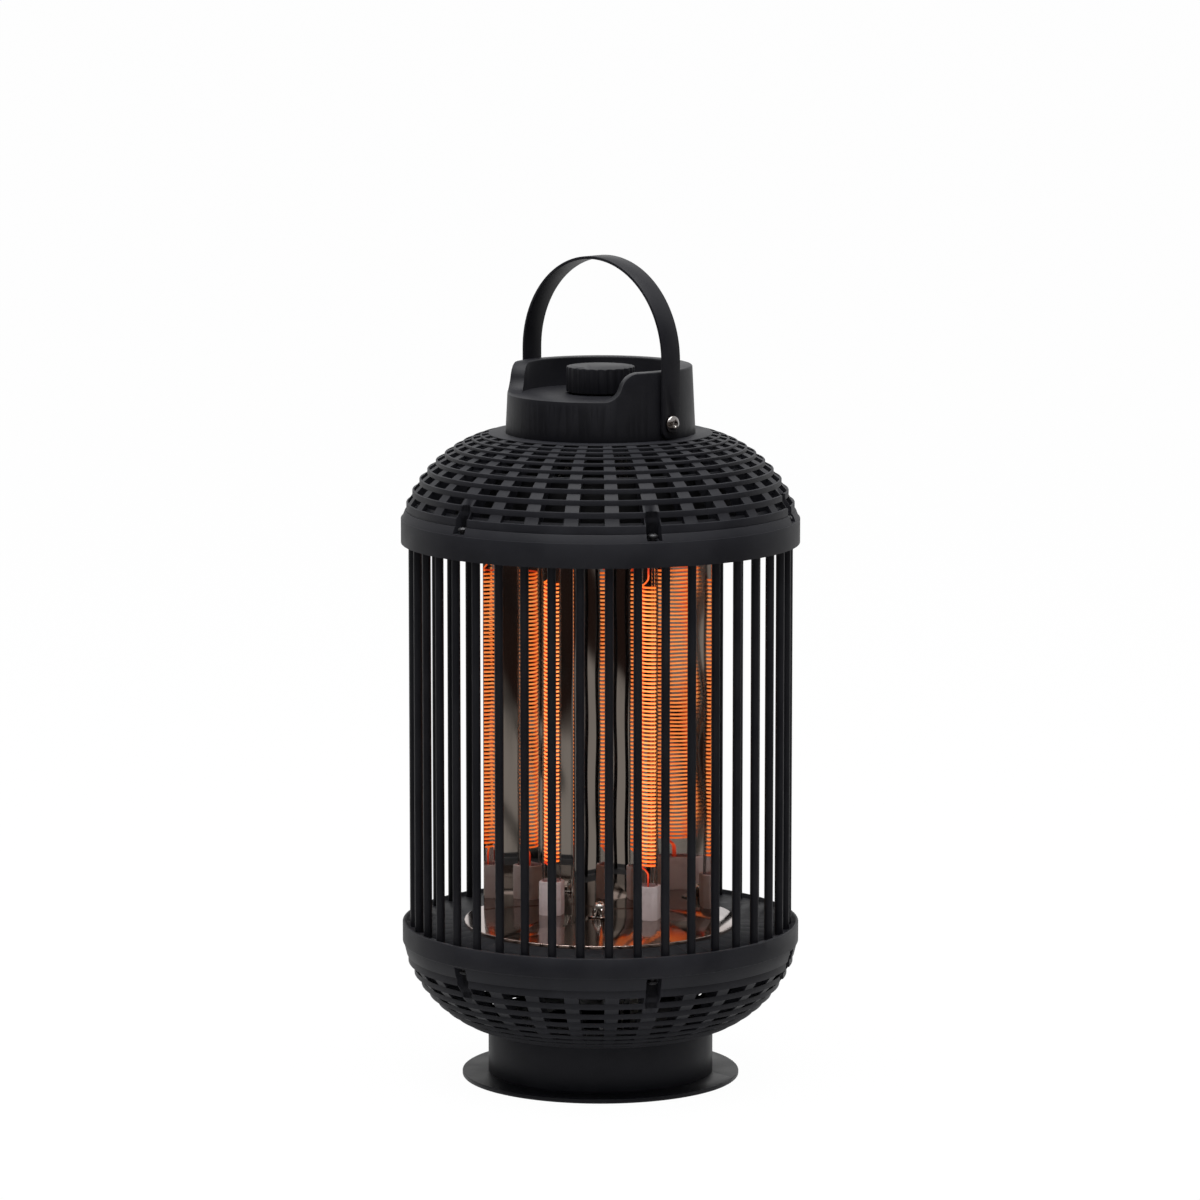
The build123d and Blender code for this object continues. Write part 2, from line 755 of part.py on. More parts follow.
# Ceiling of the chamber, a sheet on the web that holds the upper caps
with BuildPart() as ceiling_disc:
    with BuildSketch(chamber_plane.offset(chamber_top)):
        Circle(ceiling_radius)
        with Locations(*element_places):
            Circle((cap_spigot_diameter + cap_clearance) / 2, mode=Mode.SUBTRACT)
        with Locations((0, conduit_setback)):
            Circle(conduit_diameter / 2 + thread_clearance, mode=Mode.SUBTRACT)
        with Locations(*rivet_places):
            Circle(rivet_diameter / 2 + thread_clearance, mode=Mode.SUBTRACT)
    extrude(amount=ceiling_sheet)
    with BuildSketch(Plane.XY.offset(chamber_top)):
        with PolarLocations(spacer_circle, spacer_count, start_angle=45):
            Circle((screw_diameter + screw_clearance) / 2)
    extrude(amount=ceiling_sheet, mode=Mode.SUBTRACT)
ceiling_disc.part.label = "ceiling_disc"
export_step(ceiling_disc.part, "parts/ceiling_disc.step")


def offset_points(points, distance):
    """The corners of a bent line, moved to its left by a distance."""
    moved = []
    for k, point in enumerate(points):
        ways = [end - start for start, end in zip(points, points[1:])][max(k - 1, 0) : k + 1]
        lefts = [Vector(-way.Y, way.X).normalized() for way in ways]
        mean = (lefts[0] + lefts[-1]).normalized()
        moved.append(point + mean * (distance / mean.dot(lefts[0])))
    return moved


def bowed_line(points, sags):
    """Edges from point to point, each bowed to the left by its sag."""
    for start, end, sag in zip(points, points[1:], sags):
        left = Vector(start.Y - end.Y, end.X - start.X).normalized()
        if sag:
            ThreePointArc(start, (start + end) * 0.5 + left * sag, end)
        else:
            Line(start, end)


# Reflector: one sheet bent into a trough behind each element, with a ridge between them, a lip at
# each side and tabs at both ends for its rivets
lip_reach, lip_rise = polar(lip_length, lip_angle)
wing_bends = [
    (trough_offset, trough_depth), (wing_offset, wing_depth), (wing_offset + lip_reach, wing_depth - lip_rise)
]
bends = [(-x, y) for x, y in reversed(wing_bends)] + [(0, ridge_depth)] + wing_bends
front_bends = [Vector(element_shift + x, element_setback + y) for x, y in bends]
back_bends = offset_points(front_bends, reflector_sheet)
middle_bends = offset_points(front_bends, reflector_sheet / 2)
panel_sags = [0, wing_sag, ridge_sag, ridge_sag, wing_sag, 0]
with BuildPart() as reflector:
    with BuildSketch(chamber_plane.offset(disc_top)):
        with BuildLine():
            bowed_line(front_bends, panel_sags)
            bowed_line(back_bends, panel_sags)
            Line(front_bends[0], back_bends[0])
            Line(front_bends[-1], back_bends[-1])
        make_face()
    extrude(amount=chamber_height)
    for level, direction in ((disc_top, 1), (chamber_top, -1)):
        with BuildSketch(chamber_plane.offset(level)):
            for before, bend, after in (middle_bends[1:4], middle_bends[3:6]):
                first = bend + (before - bend).normalized() * (tab_width / 2)
                last = bend + (after - bend).normalized() * (tab_width / 2)
                tab_end = bend.Y + tab_length
                with BuildLine():
                    Polyline(first, bend, last, (last.X, tab_end), (first.X, tab_end), close=True)
                make_face()
            with Locations(*rivet_places):
                Circle(rivet_diameter / 2 + thread_clearance, mode=Mode.SUBTRACT)
        extrude(amount=direction * reflector_sheet)
reflector.part.label = "reflector"
export_step(reflector.part, "parts/reflector.step")

with BuildPart() as reflector_rivets:
    for level, direction, sheet in ((disc_top, 1, disc_sheet), (chamber_top, -1, ceiling_sheet)):
        for x, y in rivet_places:
            start = chamber_plane.from_local_coords(Vector(x, y, level))
            rivet_plane = Plane(start, z_dir=(0, 0, direction))
            with BuildSketch(rivet_plane.offset(reflector_sheet)):
                Circle(rivet_head_diameter / 2)
            extrude(amount=rivet_head_height)
            with BuildSketch(rivet_plane.offset(-sheet)):
                Circle(rivet_diameter / 2)
            extrude(amount=sheet + reflector_sheet)
            with BuildSketch(rivet_plane.offset(-sheet)):
                Circle(rivet_tail_diameter / 2)
            extrude(amount=-rivet_head_height)
reflector_rivets.part.label = "reflector_rivets"
export_step(reflector_rivets.part, "parts/reflector_rivets.step")

# Ceramic cap with a socket for the tube on top, a hole for the wire and a spigot below.
# It stands on the origin
with BuildPart() as cap:
    with BuildSketch():
        Rectangle(cap_width, cap_width)
        chamfer(vertices(), length=cap_corner_cut)
    extrude(amount=cap_height)
    chamfer(cap.faces().sort_by(Axis.Z)[-1].edges(), length=cap_edge_chamfer)
    with BuildSketch():
        Circle(cap_spigot_diameter / 2)
    extrude(amount=-cap_spigot_length)
    with BuildSketch(Plane.XY.offset(cap_height)):
        Circle(tube_diameter / 2 + tube_fit)
    extrude(amount=-cap_socket_depth, mode=Mode.SUBTRACT)
    with BuildSketch(Plane.XY.offset(-cap_spigot_length)):
        Circle(lead_hole_diameter / 2)
    extrude(amount=cap_spigot_length + cap_height, mode=Mode.SUBTRACT)

# Heating coil on the Z axis: one unbroken wire on arcs of a quarter turn, with a lead at each end
lead_levels = (coil_bottom - lead_rise, coil_top + lead_rise)
lead_ends = [(Vector(0, 0, level), Vector(0, 0, 1)) for level in lead_levels]
stations = [lead_ends[0]] + [coil_station(half / 2) for half in range(2 * coil_turns + 1)] + [lead_ends[1]]
coil_edges = [Line((0, 0, socket_bottom), lead_ends[0][0])]
for (start, start_way), (end, end_way) in zip(stations, stations[1:]):
    joint = biarc_joint(start, start_way, end, end_way)
    first_arc = TangentArc(start, joint, tangent=start_way)
    coil_edges += [first_arc, TangentArc(joint, end, tangent=first_arc % 1)]
coil_path = Wire(coil_edges + [Line(lead_ends[1][0], (0, 0, socket_top))])
with BuildPart() as coil:
    with BuildSketch(Plane((0, 0, socket_bottom))):
        Circle(coil_wire / 2)
    sweep(path=coil_path)
coil_section = math.pi * coil_wire**2 / 4
samples_per_turn = 24
sample_count = samples_per_turn * (coil_turns + 2)
samples = [tuple(point) for point in coil_path.positions([k / sample_count for k in range(sample_count + 1)])]
print("coil: least gap to itself", round(least_gap(samples, coil_wire, samples_per_turn // 2), 2), "mm,",
      "volume over section times length", round(coil.part.volume / (coil_path.length * coil_section), 4))

# Each heating element: its tube, coil and two caps
for side, (x, y) in zip(("left", "right"), element_places):
    place = chamber_plane.from_local_coords(Vector(x, y, 0))
    standing = Location((place.X, place.Y, disc_top), (0, 0, chamber_turn))
    hanging = Location((place.X, place.Y, chamber_top), (180, 0, chamber_turn))

    with BuildPart() as lower_cap:
        with Locations(standing):
            add(cap.part)
    lower_cap.part.label = f"lower_cap_{side}"
    export_step(lower_cap.part, f"parts/lower_cap_{side}.step")

    with BuildPart() as upper_cap:
        with Locations(hanging):
            add(cap.part)
    upper_cap.part.label = f"upper_cap_{side}"
    export_step(upper_cap.part, f"parts/upper_cap_{side}.step")

    with BuildPart() as quartz_tube:
        add(round_bar(tube_diameter, socket_bottom, socket_top, Plane(place), tube_diameter - 2 * tube_wall))
    quartz_tube.part.label = f"quartz_tube_{side}"
    export_step(quartz_tube.part, f"parts/quartz_tube_{side}.step")

    with BuildPart() as heater_coil:
        with Locations(place):
            add(coil.part)
    heater_coil.part.label = f"heater_coil_{side}"
    export_step(heater_coil.part, f"parts/heater_coil_{side}.step")

# Rings that hold the caps' spigots under the tray's floor and on the ceiling
with BuildPart() as cap_rings:
    for x, y in element_places:
        place = chamber_plane.from_local_coords(Vector(x, y, 0))
        for level in (floor_bottom - cap_ring_thickness, chamber_top + ceiling_sheet):
            add(round_bar(cap_ring_diameter, level, level + cap_ring_thickness, Plane(place),
                          cap_spigot_diameter + 2 * thread_clearance))
cap_rings.part.label = "cap_rings"
export_step(cap_rings.part, "parts/cap_rings.step")

# Conduit behind the reflector, with a nut under the tray's floor and one on the ceiling
conduit_plane = Plane(chamber_plane.from_local_coords(Vector(0, conduit_setback, 0)))
with BuildPart() as wire_conduit:
    add(round_bar(conduit_diameter, floor_bottom - conduit_end, chamber_top + ceiling_sheet + conduit_end,
                  conduit_plane, conduit_diameter - 2 * conduit_wall))
wire_conduit.part.label = "wire_conduit"
export_step(wire_conduit.part, "parts/wire_conduit.step")

with BuildPart() as conduit_nuts:
    for level in (floor_bottom - conduit_nut_height, chamber_top + ceiling_sheet):
        add(hexagon_bar(conduit_nut_width, level, level + conduit_nut_height, conduit_plane,
                        conduit_diameter + 2 * thread_clearance))
conduit_nuts.part.label = "conduit_nuts"
export_step(conduit_nuts.part, "parts/conduit_nuts.step")

# Heat shield on its spacers over the ceiling: a black cup that also hides the far side's slots
shield_bottom = chamber_top + ceiling_sheet + spacer_height
shield_top = shield_bottom + shield_sheet
with BuildPart() as heat_shield:
    with BuildSketch(Plane.XY.offset(shield_bottom)):
        Circle(shield_radius)
    extrude(amount=shield_sheet)
    with BuildSketch(Plane.XY.offset(shield_top - shield_lip)):
        Circle(shield_radius)
        Circle(shield_radius - shield_sheet, mode=Mode.SUBTRACT)
    extrude(amount=shield_lip + shield_wall)
    with BuildSketch(chamber_plane.offset(shield_bottom)):
        with Locations(*element_places):
            Circle(shield_hole_diameter / 2)
        with Locations((0, conduit_setback)):
            Circle(shield_hole_diameter / 2)
    extrude(amount=shield_sheet, mode=Mode.SUBTRACT)
    with BuildSketch(Plane.XY.offset(shield_bottom)):
        with PolarLocations(spacer_circle, spacer_count, start_angle=45):
            Circle((screw_diameter + screw_clearance) / 2)
    extrude(amount=shield_sheet, mode=Mode.SUBTRACT)
heat_shield.part.label = "heat_shield"
export_step(heat_shield.part, "parts/heat_shield.step")

with BuildPart() as shield_spacers:
    with BuildSketch(Plane.XY.offset(chamber_top + ceiling_sheet)):
        with PolarLocations(spacer_circle, spacer_count, start_angle=45):
            Circle(spacer_diameter / 2)
            Circle((screw_diameter + screw_clearance) / 2, mode=Mode.SUBTRACT)
    extrude(amount=spacer_height)
shield_spacers.part.label = "shield_spacers"
export_step(shield_spacers.part, "parts/shield_spacers.step")

shield_screw = pan_screw(shield_sheet + spacer_height + ceiling_sheet + floor_thickness)
with BuildPart() as shield_screws:
    with Locations((0, 0, shield_top)):
        with PolarLocations(spacer_circle, spacer_count, start_angle=45):
            add(shield_screw)
shield_screws.part.label = "shield_screws"
export_step(shield_screws.part, "parts/shield_screws.step")

# Thermal cutout, a round can with its flange on the shield and two terminals
standing_on = (Align.CENTER, Align.CENTER, Align.MIN)
with BuildPart() as thermal_cutout:
    with Locations(Plane((0, -cutout_offset, shield_top))):
        Cylinder(cutout_flange_diameter / 2, cutout_flange_height, align=standing_on)
        Cylinder(cutout_diameter / 2, cutout_height, align=standing_on)
        with Locations((-cutout_diameter / 4, 0, cutout_height), (cutout_diameter / 4, 0, cutout_height)):
            Box(cutout_tab_thickness, cutout_tab_width, cutout_tab_height, align=standing_on)
thermal_cutout.part.label = "thermal_cutout"
export_step(thermal_cutout.part, "parts/thermal_cutout.step")

# Upper dome, with clearance holes in its flat top for the housing's screws
dome_shell = plain_shell(dome_edges, dome_arc_drop, dome_shoulder_height, dome_hole_radius, upper_ring_top, 1)
dome_slots = slot_column(dome_edges, dome_arc_drop, upper_ring_top, 1)
with BuildPart() as upper_dome:
    add(dome_shell)
    with BuildSketch(Plane.XY.offset(dome_top)):
        with PolarLocations(housing_screw_circle, housing_screw_count, start_angle=45):
            Circle((screw_diameter + screw_clearance) / 2)
    extrude(amount=-shell_plate, mode=Mode.SUBTRACT)
    with PolarLocations(0, slots_per_row, start_angle=slot_turn):
        add(dome_slots, mode=Mode.SUBTRACT)
upper_dome.part.label = "upper_dome"
export_step(upper_dome.part, "parts/upper_dome.step")

with BuildPart() as dome_screws:
    with Locations((0, 0, upper_ring_top + recess_floor)):
        with PolarLocations(shell_screw_circle, shell_screw_count, start_angle=-90):
            add(shell_screw)
dome_screws.part.label = "dome_screws"
export_step(dome_screws.part, "parts/dome_screws.step")

# What the cutaway takes off the housing's rim: a sector down to the deck and a slope at each end
rim_rise = housing_height - deck_height
half_slope = cutaway_slope_width / 2
rim_inner_radius = housing_top_radius - housing_rim_width
slope_way = polar(1, cutaway_middle_angle - 90)
slope_foot = -half_slope - 2 * cut_margin
cut_top = rim_rise + cut_margin
cut_radius = housing_base_radius + 4 * cut_margin
half_sector = cutaway_middle_angle - math.degrees(math.asin(half_slope / rim_inner_radius)) + sector_overlap
with BuildPart() as cutaway:
    with BuildSketch(Plane((0, 0, deck_top), x_dir=(-slope_way[1], slope_way[0], 0), z_dir=(*slope_way, 0))):
        with BuildLine():
            lower_bend = TangentArc((-half_slope, 0), (0, rim_rise / 2), tangent=(1, 0))
            upper_bend = TangentArc((0, rim_rise / 2), (half_slope, rim_rise), tangent=lower_bend % 1)
            Polyline(upper_bend @ 1, (half_slope, cut_top), (slope_foot, cut_top), (slope_foot, 0),
                     lower_bend @ 0)
        make_face()
    extrude(amount=cut_radius)
    mirror(about=Plane.YZ)
    with BuildSketch(Plane.XY.offset(deck_top)):
        with BuildLine():
            front = CenterArc((0, 0), cut_radius, -90 - half_sector, 2 * half_sector)
            Polyline(front @ 0, (0, 0), front @ 1)
        make_face()
    extrude(amount=cut_top)

# Control housing: outer wall, deck, rim, posts for its screws and the handle's pivot bosses
core_start = 90 - rim_core_angle / 2
core_height = rim_rise + deck_thickness - rim_core_wall + cut_margin
core_plane = Plane((0, 0, 0), x_dir=(*polar(1, core_start), 0), z_dir=(*polar(1, core_start - 90), 0))
with BuildPart() as control_housing:
    with BuildSketch(Plane.XZ):
        with BuildLine():
            Polyline((0, dome_top), (housing_base_radius, dome_top), (housing_top_radius, housing_top),
                     (rim_inner_radius, housing_top), (rim_inner_radius, deck_top), (0, deck_top), close=True)
        make_face()
    revolve(axis=Axis.Z)
    fillet(control_housing.edges().filter_by(GeomType.CIRCLE).group_by(Axis.Z)[-1], radius=housing_edge_round)
    with BuildSketch(Plane.YZ.offset(-pivot_boss_face)):
        with Locations((0, pivot_level)):
            Circle(pivot_boss_diameter / 2)
    extrude(amount=2 * pivot_boss_face)
    with BuildSketch(Plane.XY.offset(dome_top)):
        Circle(housing_skirt_radius)
        with PolarLocations(housing_screw_circle, housing_screw_count, start_angle=45):
            Circle(post_diameter / 2, mode=Mode.SUBTRACT)
    extrude(amount=deck_height - deck_thickness, mode=Mode.SUBTRACT)
    with BuildSketch(core_plane):
        with Locations((rim_inner_radius + rim_core_wall, deck_bottom - cut_margin)):
            Rectangle(housing_rim_width - 2 * rim_core_wall, core_height, align=(Align.MIN, Align.MIN))
    revolve(axis=Axis.Z, revolution_arc=rim_core_angle, mode=Mode.SUBTRACT)
    add(cutaway.part, mode=Mode.SUBTRACT)
    for direction in (-1, 1):
        with BuildSketch(Plane.YZ.offset(direction * pivot_boss_back)):
            with Locations((0, pivot_level)):
                Circle(pivot_boss_diameter / 2)
        extrude(amount=direction * (pivot_boss_face - pivot_boss_back))
    with BuildSketch(Plane.YZ.offset(-pivot_boss_face)):
        with Locations((0, pivot_level)):
            Circle(bolt_diameter / 2 + thread_clearance)
    extrude(amount=2 * pivot_boss_face, mode=Mode.SUBTRACT)
    with BuildSketch(Plane.XY.offset(dome_top)):
        with PolarLocations(housing_screw_circle, housing_screw_count, start_angle=45):
            Circle(screw_diameter / 2 + thread_clearance)
    extrude(amount=short_screw_length - shell_plate + hole_spare, mode=Mode.SUBTRACT)
    with BuildSketch(Plane.XY.offset(deck_bottom)):
        Circle(bush_diameter / 2 + thread_clearance)
    extrude(amount=deck_thickness, mode=Mode.SUBTRACT)
control_housing.part.label = "control_housing"
export_step(control_housing.part, "parts/control_housing.step")

with BuildPart() as housing_screws:
    with Locations(Plane.XY.offset(dome_top - shell_plate).rotated((180, 0, 0))):
        with PolarLocations(housing_screw_circle, housing_screw_count, start_angle=45):
            add(short_screw)
housing_screws.part.label = "housing_screws"
export_step(housing_screws.part, "parts/housing_screws.step")


def shaft_sketch(clearance):
    """Round section with one flat, larger than the shaft by a clearance all round."""
    with BuildSketch() as section:
        Circle(shaft_diameter / 2 + clearance)
        with Locations((0, shaft_diameter / 2 - shaft_flat + clearance)):
            Rectangle(2 * shaft_diameter, shaft_diameter, align=(Align.CENTER, Align.MIN), mode=Mode.SUBTRACT)
    return section.sketch


# Rotary switch under the deck: its body with terminals, and the threaded bush through the deck
with BuildPart() as rotary_switch:
    with BuildSketch(Plane.XY.offset(deck_bottom)):
        Rectangle(switch_side, switch_side)
        chamfer(vertices(), length=switch_corner)
    extrude(amount=-switch_height)
    with BuildSketch(Plane.XY.offset(deck_bottom)):
        Circle(bush_diameter / 2)
    extrude(amount=bush_height)
    with BuildSketch(Plane.XY.offset(deck_bottom - shaft_depth)):
        Circle(shaft_diameter / 2 + shaft_clearance)
    extrude(amount=shaft_depth + bush_height, mode=Mode.SUBTRACT)
rotary_switch.part.label = "rotary_switch"
export_step(rotary_switch.part, "parts/rotary_switch.step")

with BuildPart() as switch_bush_nut:
    add(hexagon_bar(bush_nut_width, deck_top, deck_top + bush_nut_height, Plane.XY,
                    bush_diameter + 2 * thread_clearance))
switch_bush_nut.part.label = "switch_bush_nut"
export_step(switch_bush_nut.part, "parts/switch_bush_nut.step")

shaft_top = knob_top - knob_top_wall
with BuildPart() as switch_shaft:
    with BuildSketch(Plane.XY.offset(deck_bottom - shaft_depth)):
        Circle(shaft_diameter / 2)
    extrude(amount=shaft_depth + bush_height)
    with BuildSketch(Plane.XY.offset(deck_bottom + bush_height)):
        add(shaft_sketch(0))
    extrude(amount=shaft_top - deck_bottom - bush_height)
switch_shaft.part.label = "switch_shaft"
export_step(switch_shaft.part, "parts/switch_shaft.step")

# Knob: a fluted cup with a hub on the shaft and a pointer notch towards the front
with BuildPart() as knob:
    with BuildSketch(Plane.XY.offset(knob_bottom)):
        Circle(knob_radius)
    extrude(amount=knob_height)
    chamfer(knob.edges().filter_by(GeomType.CIRCLE).sort_by(Axis.Z)[-1], length=knob_top_chamfer)
    with BuildSketch(Plane.XY.offset(knob_bottom)):
        Circle(knob_radius - knob_wall)
        Circle(knob_hub_diameter / 2, mode=Mode.SUBTRACT)
    extrude(amount=knob_height - knob_top_wall, mode=Mode.SUBTRACT)
    with BuildSketch(Plane.XY.offset(knob_bottom)):
        Circle(knob_hub_diameter / 2 + cut_margin)
    extrude(amount=hub_bottom - knob_bottom, mode=Mode.SUBTRACT)
    with BuildSketch(Plane.XY.offset(hub_bottom)):
        add(shaft_sketch(shaft_fit))
    extrude(amount=shaft_top - hub_bottom, mode=Mode.SUBTRACT)
    with BuildSketch(Plane.XY.offset(knob_bottom)):
        with PolarLocations(knob_radius - knob_flute_depth + knob_flute_radius, knob_flutes, start_angle=-90):
            Circle(knob_flute_radius)
    extrude(amount=knob_height, mode=Mode.SUBTRACT)
    with BuildSketch(Plane.XY.offset(knob_top)):
        with Locations((0, -knob_radius)):
            Rectangle(pointer_width, pointer_length, align=(Align.CENTER, Align.MIN))
    extrude(amount=-pointer_depth, mode=Mode.SUBTRACT)
knob.part.label = "knob"
export_step(knob.part, "parts/knob.step")

# Carrying handle: a bent strap with a bolt hole in each leg
strap_outer_radius = strap_inner_span + strap_thickness
with BuildPart() as carrying_handle:
    with BuildSketch(Plane.XZ.offset(-strap_width / 2)):
        with BuildLine():
            for radius in (strap_outer_radius, strap_inner_span):
                CenterArc((0, pivot_level + strap_straight), radius, 0, 180)
                for x in (-radius, radius):
                    Line((x, pivot_level + strap_straight), (x, pivot_level - strap_end))
            for direction in (-1, 1):
                Line((direction * strap_outer_radius, pivot_level - strap_end),
                     (direction * strap_inner_span, pivot_level - strap_end))
        make_face()
    extrude(amount=strap_width)
    corners = carrying_handle.edges().filter_by(Axis.X).group_by(Axis.Z)[0]
    fillet(corners, radius=strap_corner)
    with BuildSketch(Plane.YZ.offset(-strap_outer_radius)):
        with Locations((0, pivot_level)):
            Circle(bolt_diameter / 2 + hinge_clearance)
    extrude(amount=2 * strap_outer_radius, mode=Mode.SUBTRACT)
carrying_handle.part.label = "carrying_handle"
export_step(carrying_handle.part, "parts/carrying_handle.step")

# Pivot bolt, washer and nut on the right, about their own axis, then both sides
right_pivot = Plane((0, 0, pivot_level), x_dir=(0, 1, 0), z_dir=(1, 0, 0))
head_seat = strap_outer_radius + pivot_gap
with BuildPart() as handle_bolts:
    with BuildSketch(Plane.XZ):
        with BuildLine():
            head_radius = bolt_head_diameter / 2
            tip = (head_seat + bolt_head_height, pivot_level)
            shoulder = (head_seat + bolt_head_rim, pivot_level + head_radius)
            TangentArc(tip, shoulder, tangent=(0, 1))
            Polyline(shoulder, (head_seat, pivot_level + head_radius), (head_seat, pivot_level), tip)
        make_face()
    revolve(axis=Axis((0, 0, pivot_level), (1, 0, 0)))
    with BuildSketch(right_pivot.offset(head_seat - bolt_reach)):
        Circle(bolt_diameter / 2)
    extrude(amount=bolt_reach + bolt_head_rim)
    with BuildSketch(right_pivot.offset(head_seat + bolt_head_height)):
        RegularPolygon(bolt_socket_width / 2, 6, major_radius=False)
    extrude(amount=-bolt_socket_depth, mode=Mode.SUBTRACT)
    mirror(about=Plane.YZ)
handle_bolts.part.label = "handle_bolts"
export_step(handle_bolts.part, "parts/handle_bolts.step")

with BuildPart() as handle_washers:
    add(round_bar(pivot_washer_diameter, pivot_boss_face, pivot_boss_face + pivot_washer, right_pivot,
                  bolt_diameter + 2 * thread_clearance))
    mirror(about=Plane.YZ)
handle_washers.part.label = "handle_washers"
export_step(handle_washers.part, "parts/handle_washers.step")

with BuildPart() as handle_nuts:
    add(hexagon_bar(nut_width, pivot_boss_back - nut_height, pivot_boss_back, right_pivot,
                    bolt_diameter + 2 * thread_clearance))
    mirror(about=Plane.YZ)
handle_nuts.part.label = "handle_nuts"
export_step(handle_nuts.part, "parts/handle_nuts.step")

# Terminal block on the foot plate, with its screw wells
with BuildPart() as terminal_block:
    with BuildSketch(Plane.XY.offset(plate_top)):
        with Locations((0, terminal_offset)):
            Rectangle(terminal_length, terminal_depth)
    extrude(amount=terminal_height)
    with BuildSketch(Plane.XY.offset(plate_top + terminal_height)):
        with Locations((0, terminal_offset - terminal_depth / 4)):
            with GridLocations(terminal_pitch, 0, 3, 1):
                Circle(terminal_well_diameter / 2)
    extrude(amount=-terminal_well_depth, mode=Mode.SUBTRACT)
terminal_block.part.label = "terminal_block"
export_step(terminal_block.part, "parts/terminal_block.step")

# Cable gland through the pedestal's back wall, and its nut inside
gland_plane = Plane((0, 0, gland_level), x_dir=(-1, 0, 0), z_dir=(0, 1, 0))
with BuildPart() as cable_gland:
    add(round_bar(gland_diameter, pedestal_radius, pedestal_radius + gland_flange, gland_plane, gland_bore))
    add(round_bar(gland_neck, gland_inner_end, pedestal_radius + gland_reach, gland_plane, gland_bore))
    chamfer(cable_gland.edges().filter_by(GeomType.CIRCLE).sort_by(Axis.Y)[-1], length=gland_chamfer)
cable_gland.part.label = "cable_gland"
export_step(cable_gland.part, "parts/cable_gland.step")

with BuildPart() as gland_nut:
    add(hexagon_bar(gland_nut_width, gland_nut_seat - gland_nut_height, gland_nut_seat, gland_plane,
                    gland_neck + 2 * thread_clearance))
gland_nut.part.label = "gland_nut"
export_step(gland_nut.part, "parts/gland_nut.step")

# Tilt switch: an upside-down box on the foot plate, its pin and the pendulum that hangs on the pin
tilt_pivot = plate_top + tilt_height - tilt_wall - tilt_pin_depth
with BuildPart() as tilt_switch_housing:
    with BuildSketch(Plane.XY.offset(plate_top)):
        with Locations((-tilt_offset, 0)):
            Rectangle(tilt_width, tilt_depth)
    extrude(amount=tilt_height)
    with BuildSketch(Plane.XY.offset(plate_top)):
        with Locations((-tilt_offset, 0)):
            Rectangle(tilt_width - 2 * tilt_wall, tilt_depth - 2 * tilt_wall)
    extrude(amount=tilt_height - tilt_wall, mode=Mode.SUBTRACT)
    with BuildSketch(Plane.XZ.offset(-tilt_depth)):
        with Locations((-tilt_offset, tilt_pivot)):
            Circle(tilt_pin_diameter / 2 + thread_clearance)
    extrude(amount=2 * tilt_depth, mode=Mode.SUBTRACT)
tilt_switch_housing.part.label = "tilt_switch_housing"
export_step(tilt_switch_housing.part, "parts/tilt_switch_housing.step")

with BuildPart() as tilt_switch_pin:
    with BuildSketch(Plane.XZ.offset(-tilt_depth / 2)):
        with Locations((-tilt_offset, tilt_pivot)):
            Circle(tilt_pin_diameter / 2)
    extrude(amount=tilt_depth)
tilt_switch_pin.part.label = "tilt_switch_pin"
export_step(tilt_switch_pin.part, "parts/tilt_switch_pin.step")

with BuildPart() as tilt_pendulum:
    with BuildSketch(Plane.XZ.offset(-tilt_arm_thickness / 2)):
        with Locations((-tilt_offset, tilt_pivot)):
            Circle(tilt_eye_diameter / 2)
            Rectangle(tilt_arm_width, tilt_arm_length, align=(Align.CENTER, Align.MAX))
    extrude(amount=tilt_arm_thickness)
    with BuildSketch(Plane.XZ.offset(-tilt_weight_thickness / 2)):
        with Locations((-tilt_offset, tilt_pivot - tilt_arm_length)):
            Circle(tilt_weight_diameter / 2)
    extrude(amount=tilt_weight_thickness)
    with BuildSketch(Plane.XZ.offset(-tilt_depth)):
        with Locations((-tilt_offset, tilt_pivot)):
            Circle(tilt_pin_diameter / 2 + shaft_clearance)
    extrude(amount=2 * tilt_depth, mode=Mode.SUBTRACT)
tilt_pendulum.part.label = "tilt_pendulum"
export_step(tilt_pendulum.part, "parts/tilt_pendulum.step")


def wire_run(start, end, low, high, diameter):
    """A wire from one point straight up, across between two levels and straight up to another point."""
    with BuildPart() as run:
        with BuildLine() as route:
            FilletPolyline(start, (start[0], start[1], low), (end[0], end[1], high), end, radius=wire_bend)
        with BuildSketch(Plane(start)):
            Circle(diameter / 2)
        sweep()
    expected = route.wires()[0].length * math.pi * diameter**2 / 4
    print("wire: volume over section times length", round(run.part.volume / expected, 4))
    return run.part


# Wires from the terminal block up into the lower caps
element_centres = [chamber_plane.from_local_coords(Vector(x, y, 0)) for x, y in element_places]
terminal_top = plate_top + terminal_height
switch_bottom = deck_bottom - switch_height
with BuildPart() as element_wires:
    for x, centre in zip((-terminal_pitch, terminal_pitch), element_centres):
        clamp = (x, terminal_exit, terminal_top)
        add(wire_run(clamp, (centre.X, centre.Y, socket_bottom), wire_low, wire_high, wire_diameter))
element_wires.part.label = "element_wires"
export_step(element_wires.part, "parts/element_wires.step")

# Cable from the terminal block through the conduit to the rotary switch
with BuildPart() as switch_cable:
    cable_start = (0, terminal_exit, terminal_top)
    over_start = (0, terminal_exit, wire_low)
    foot = (conduit_plane.origin.X, conduit_plane.origin.Y, wire_high)
    head = (conduit_plane.origin.X, conduit_plane.origin.Y, shield_top + cable_rise)
    cable_end = (0, switch_wire_offset, switch_bottom)
    below_end = (0, switch_wire_offset, switch_bottom - cable_rise)
    with BuildLine() as cable_route:
        FilletPolyline(cable_start, over_start, foot, head, below_end, cable_end, radius=wire_bend)
    with BuildSketch(Plane(cable_start)):
        Circle(cable_diameter / 2)
    sweep()
switch_cable.part.label = "switch_cable"
export_step(switch_cable.part, "parts/switch_cable.step")

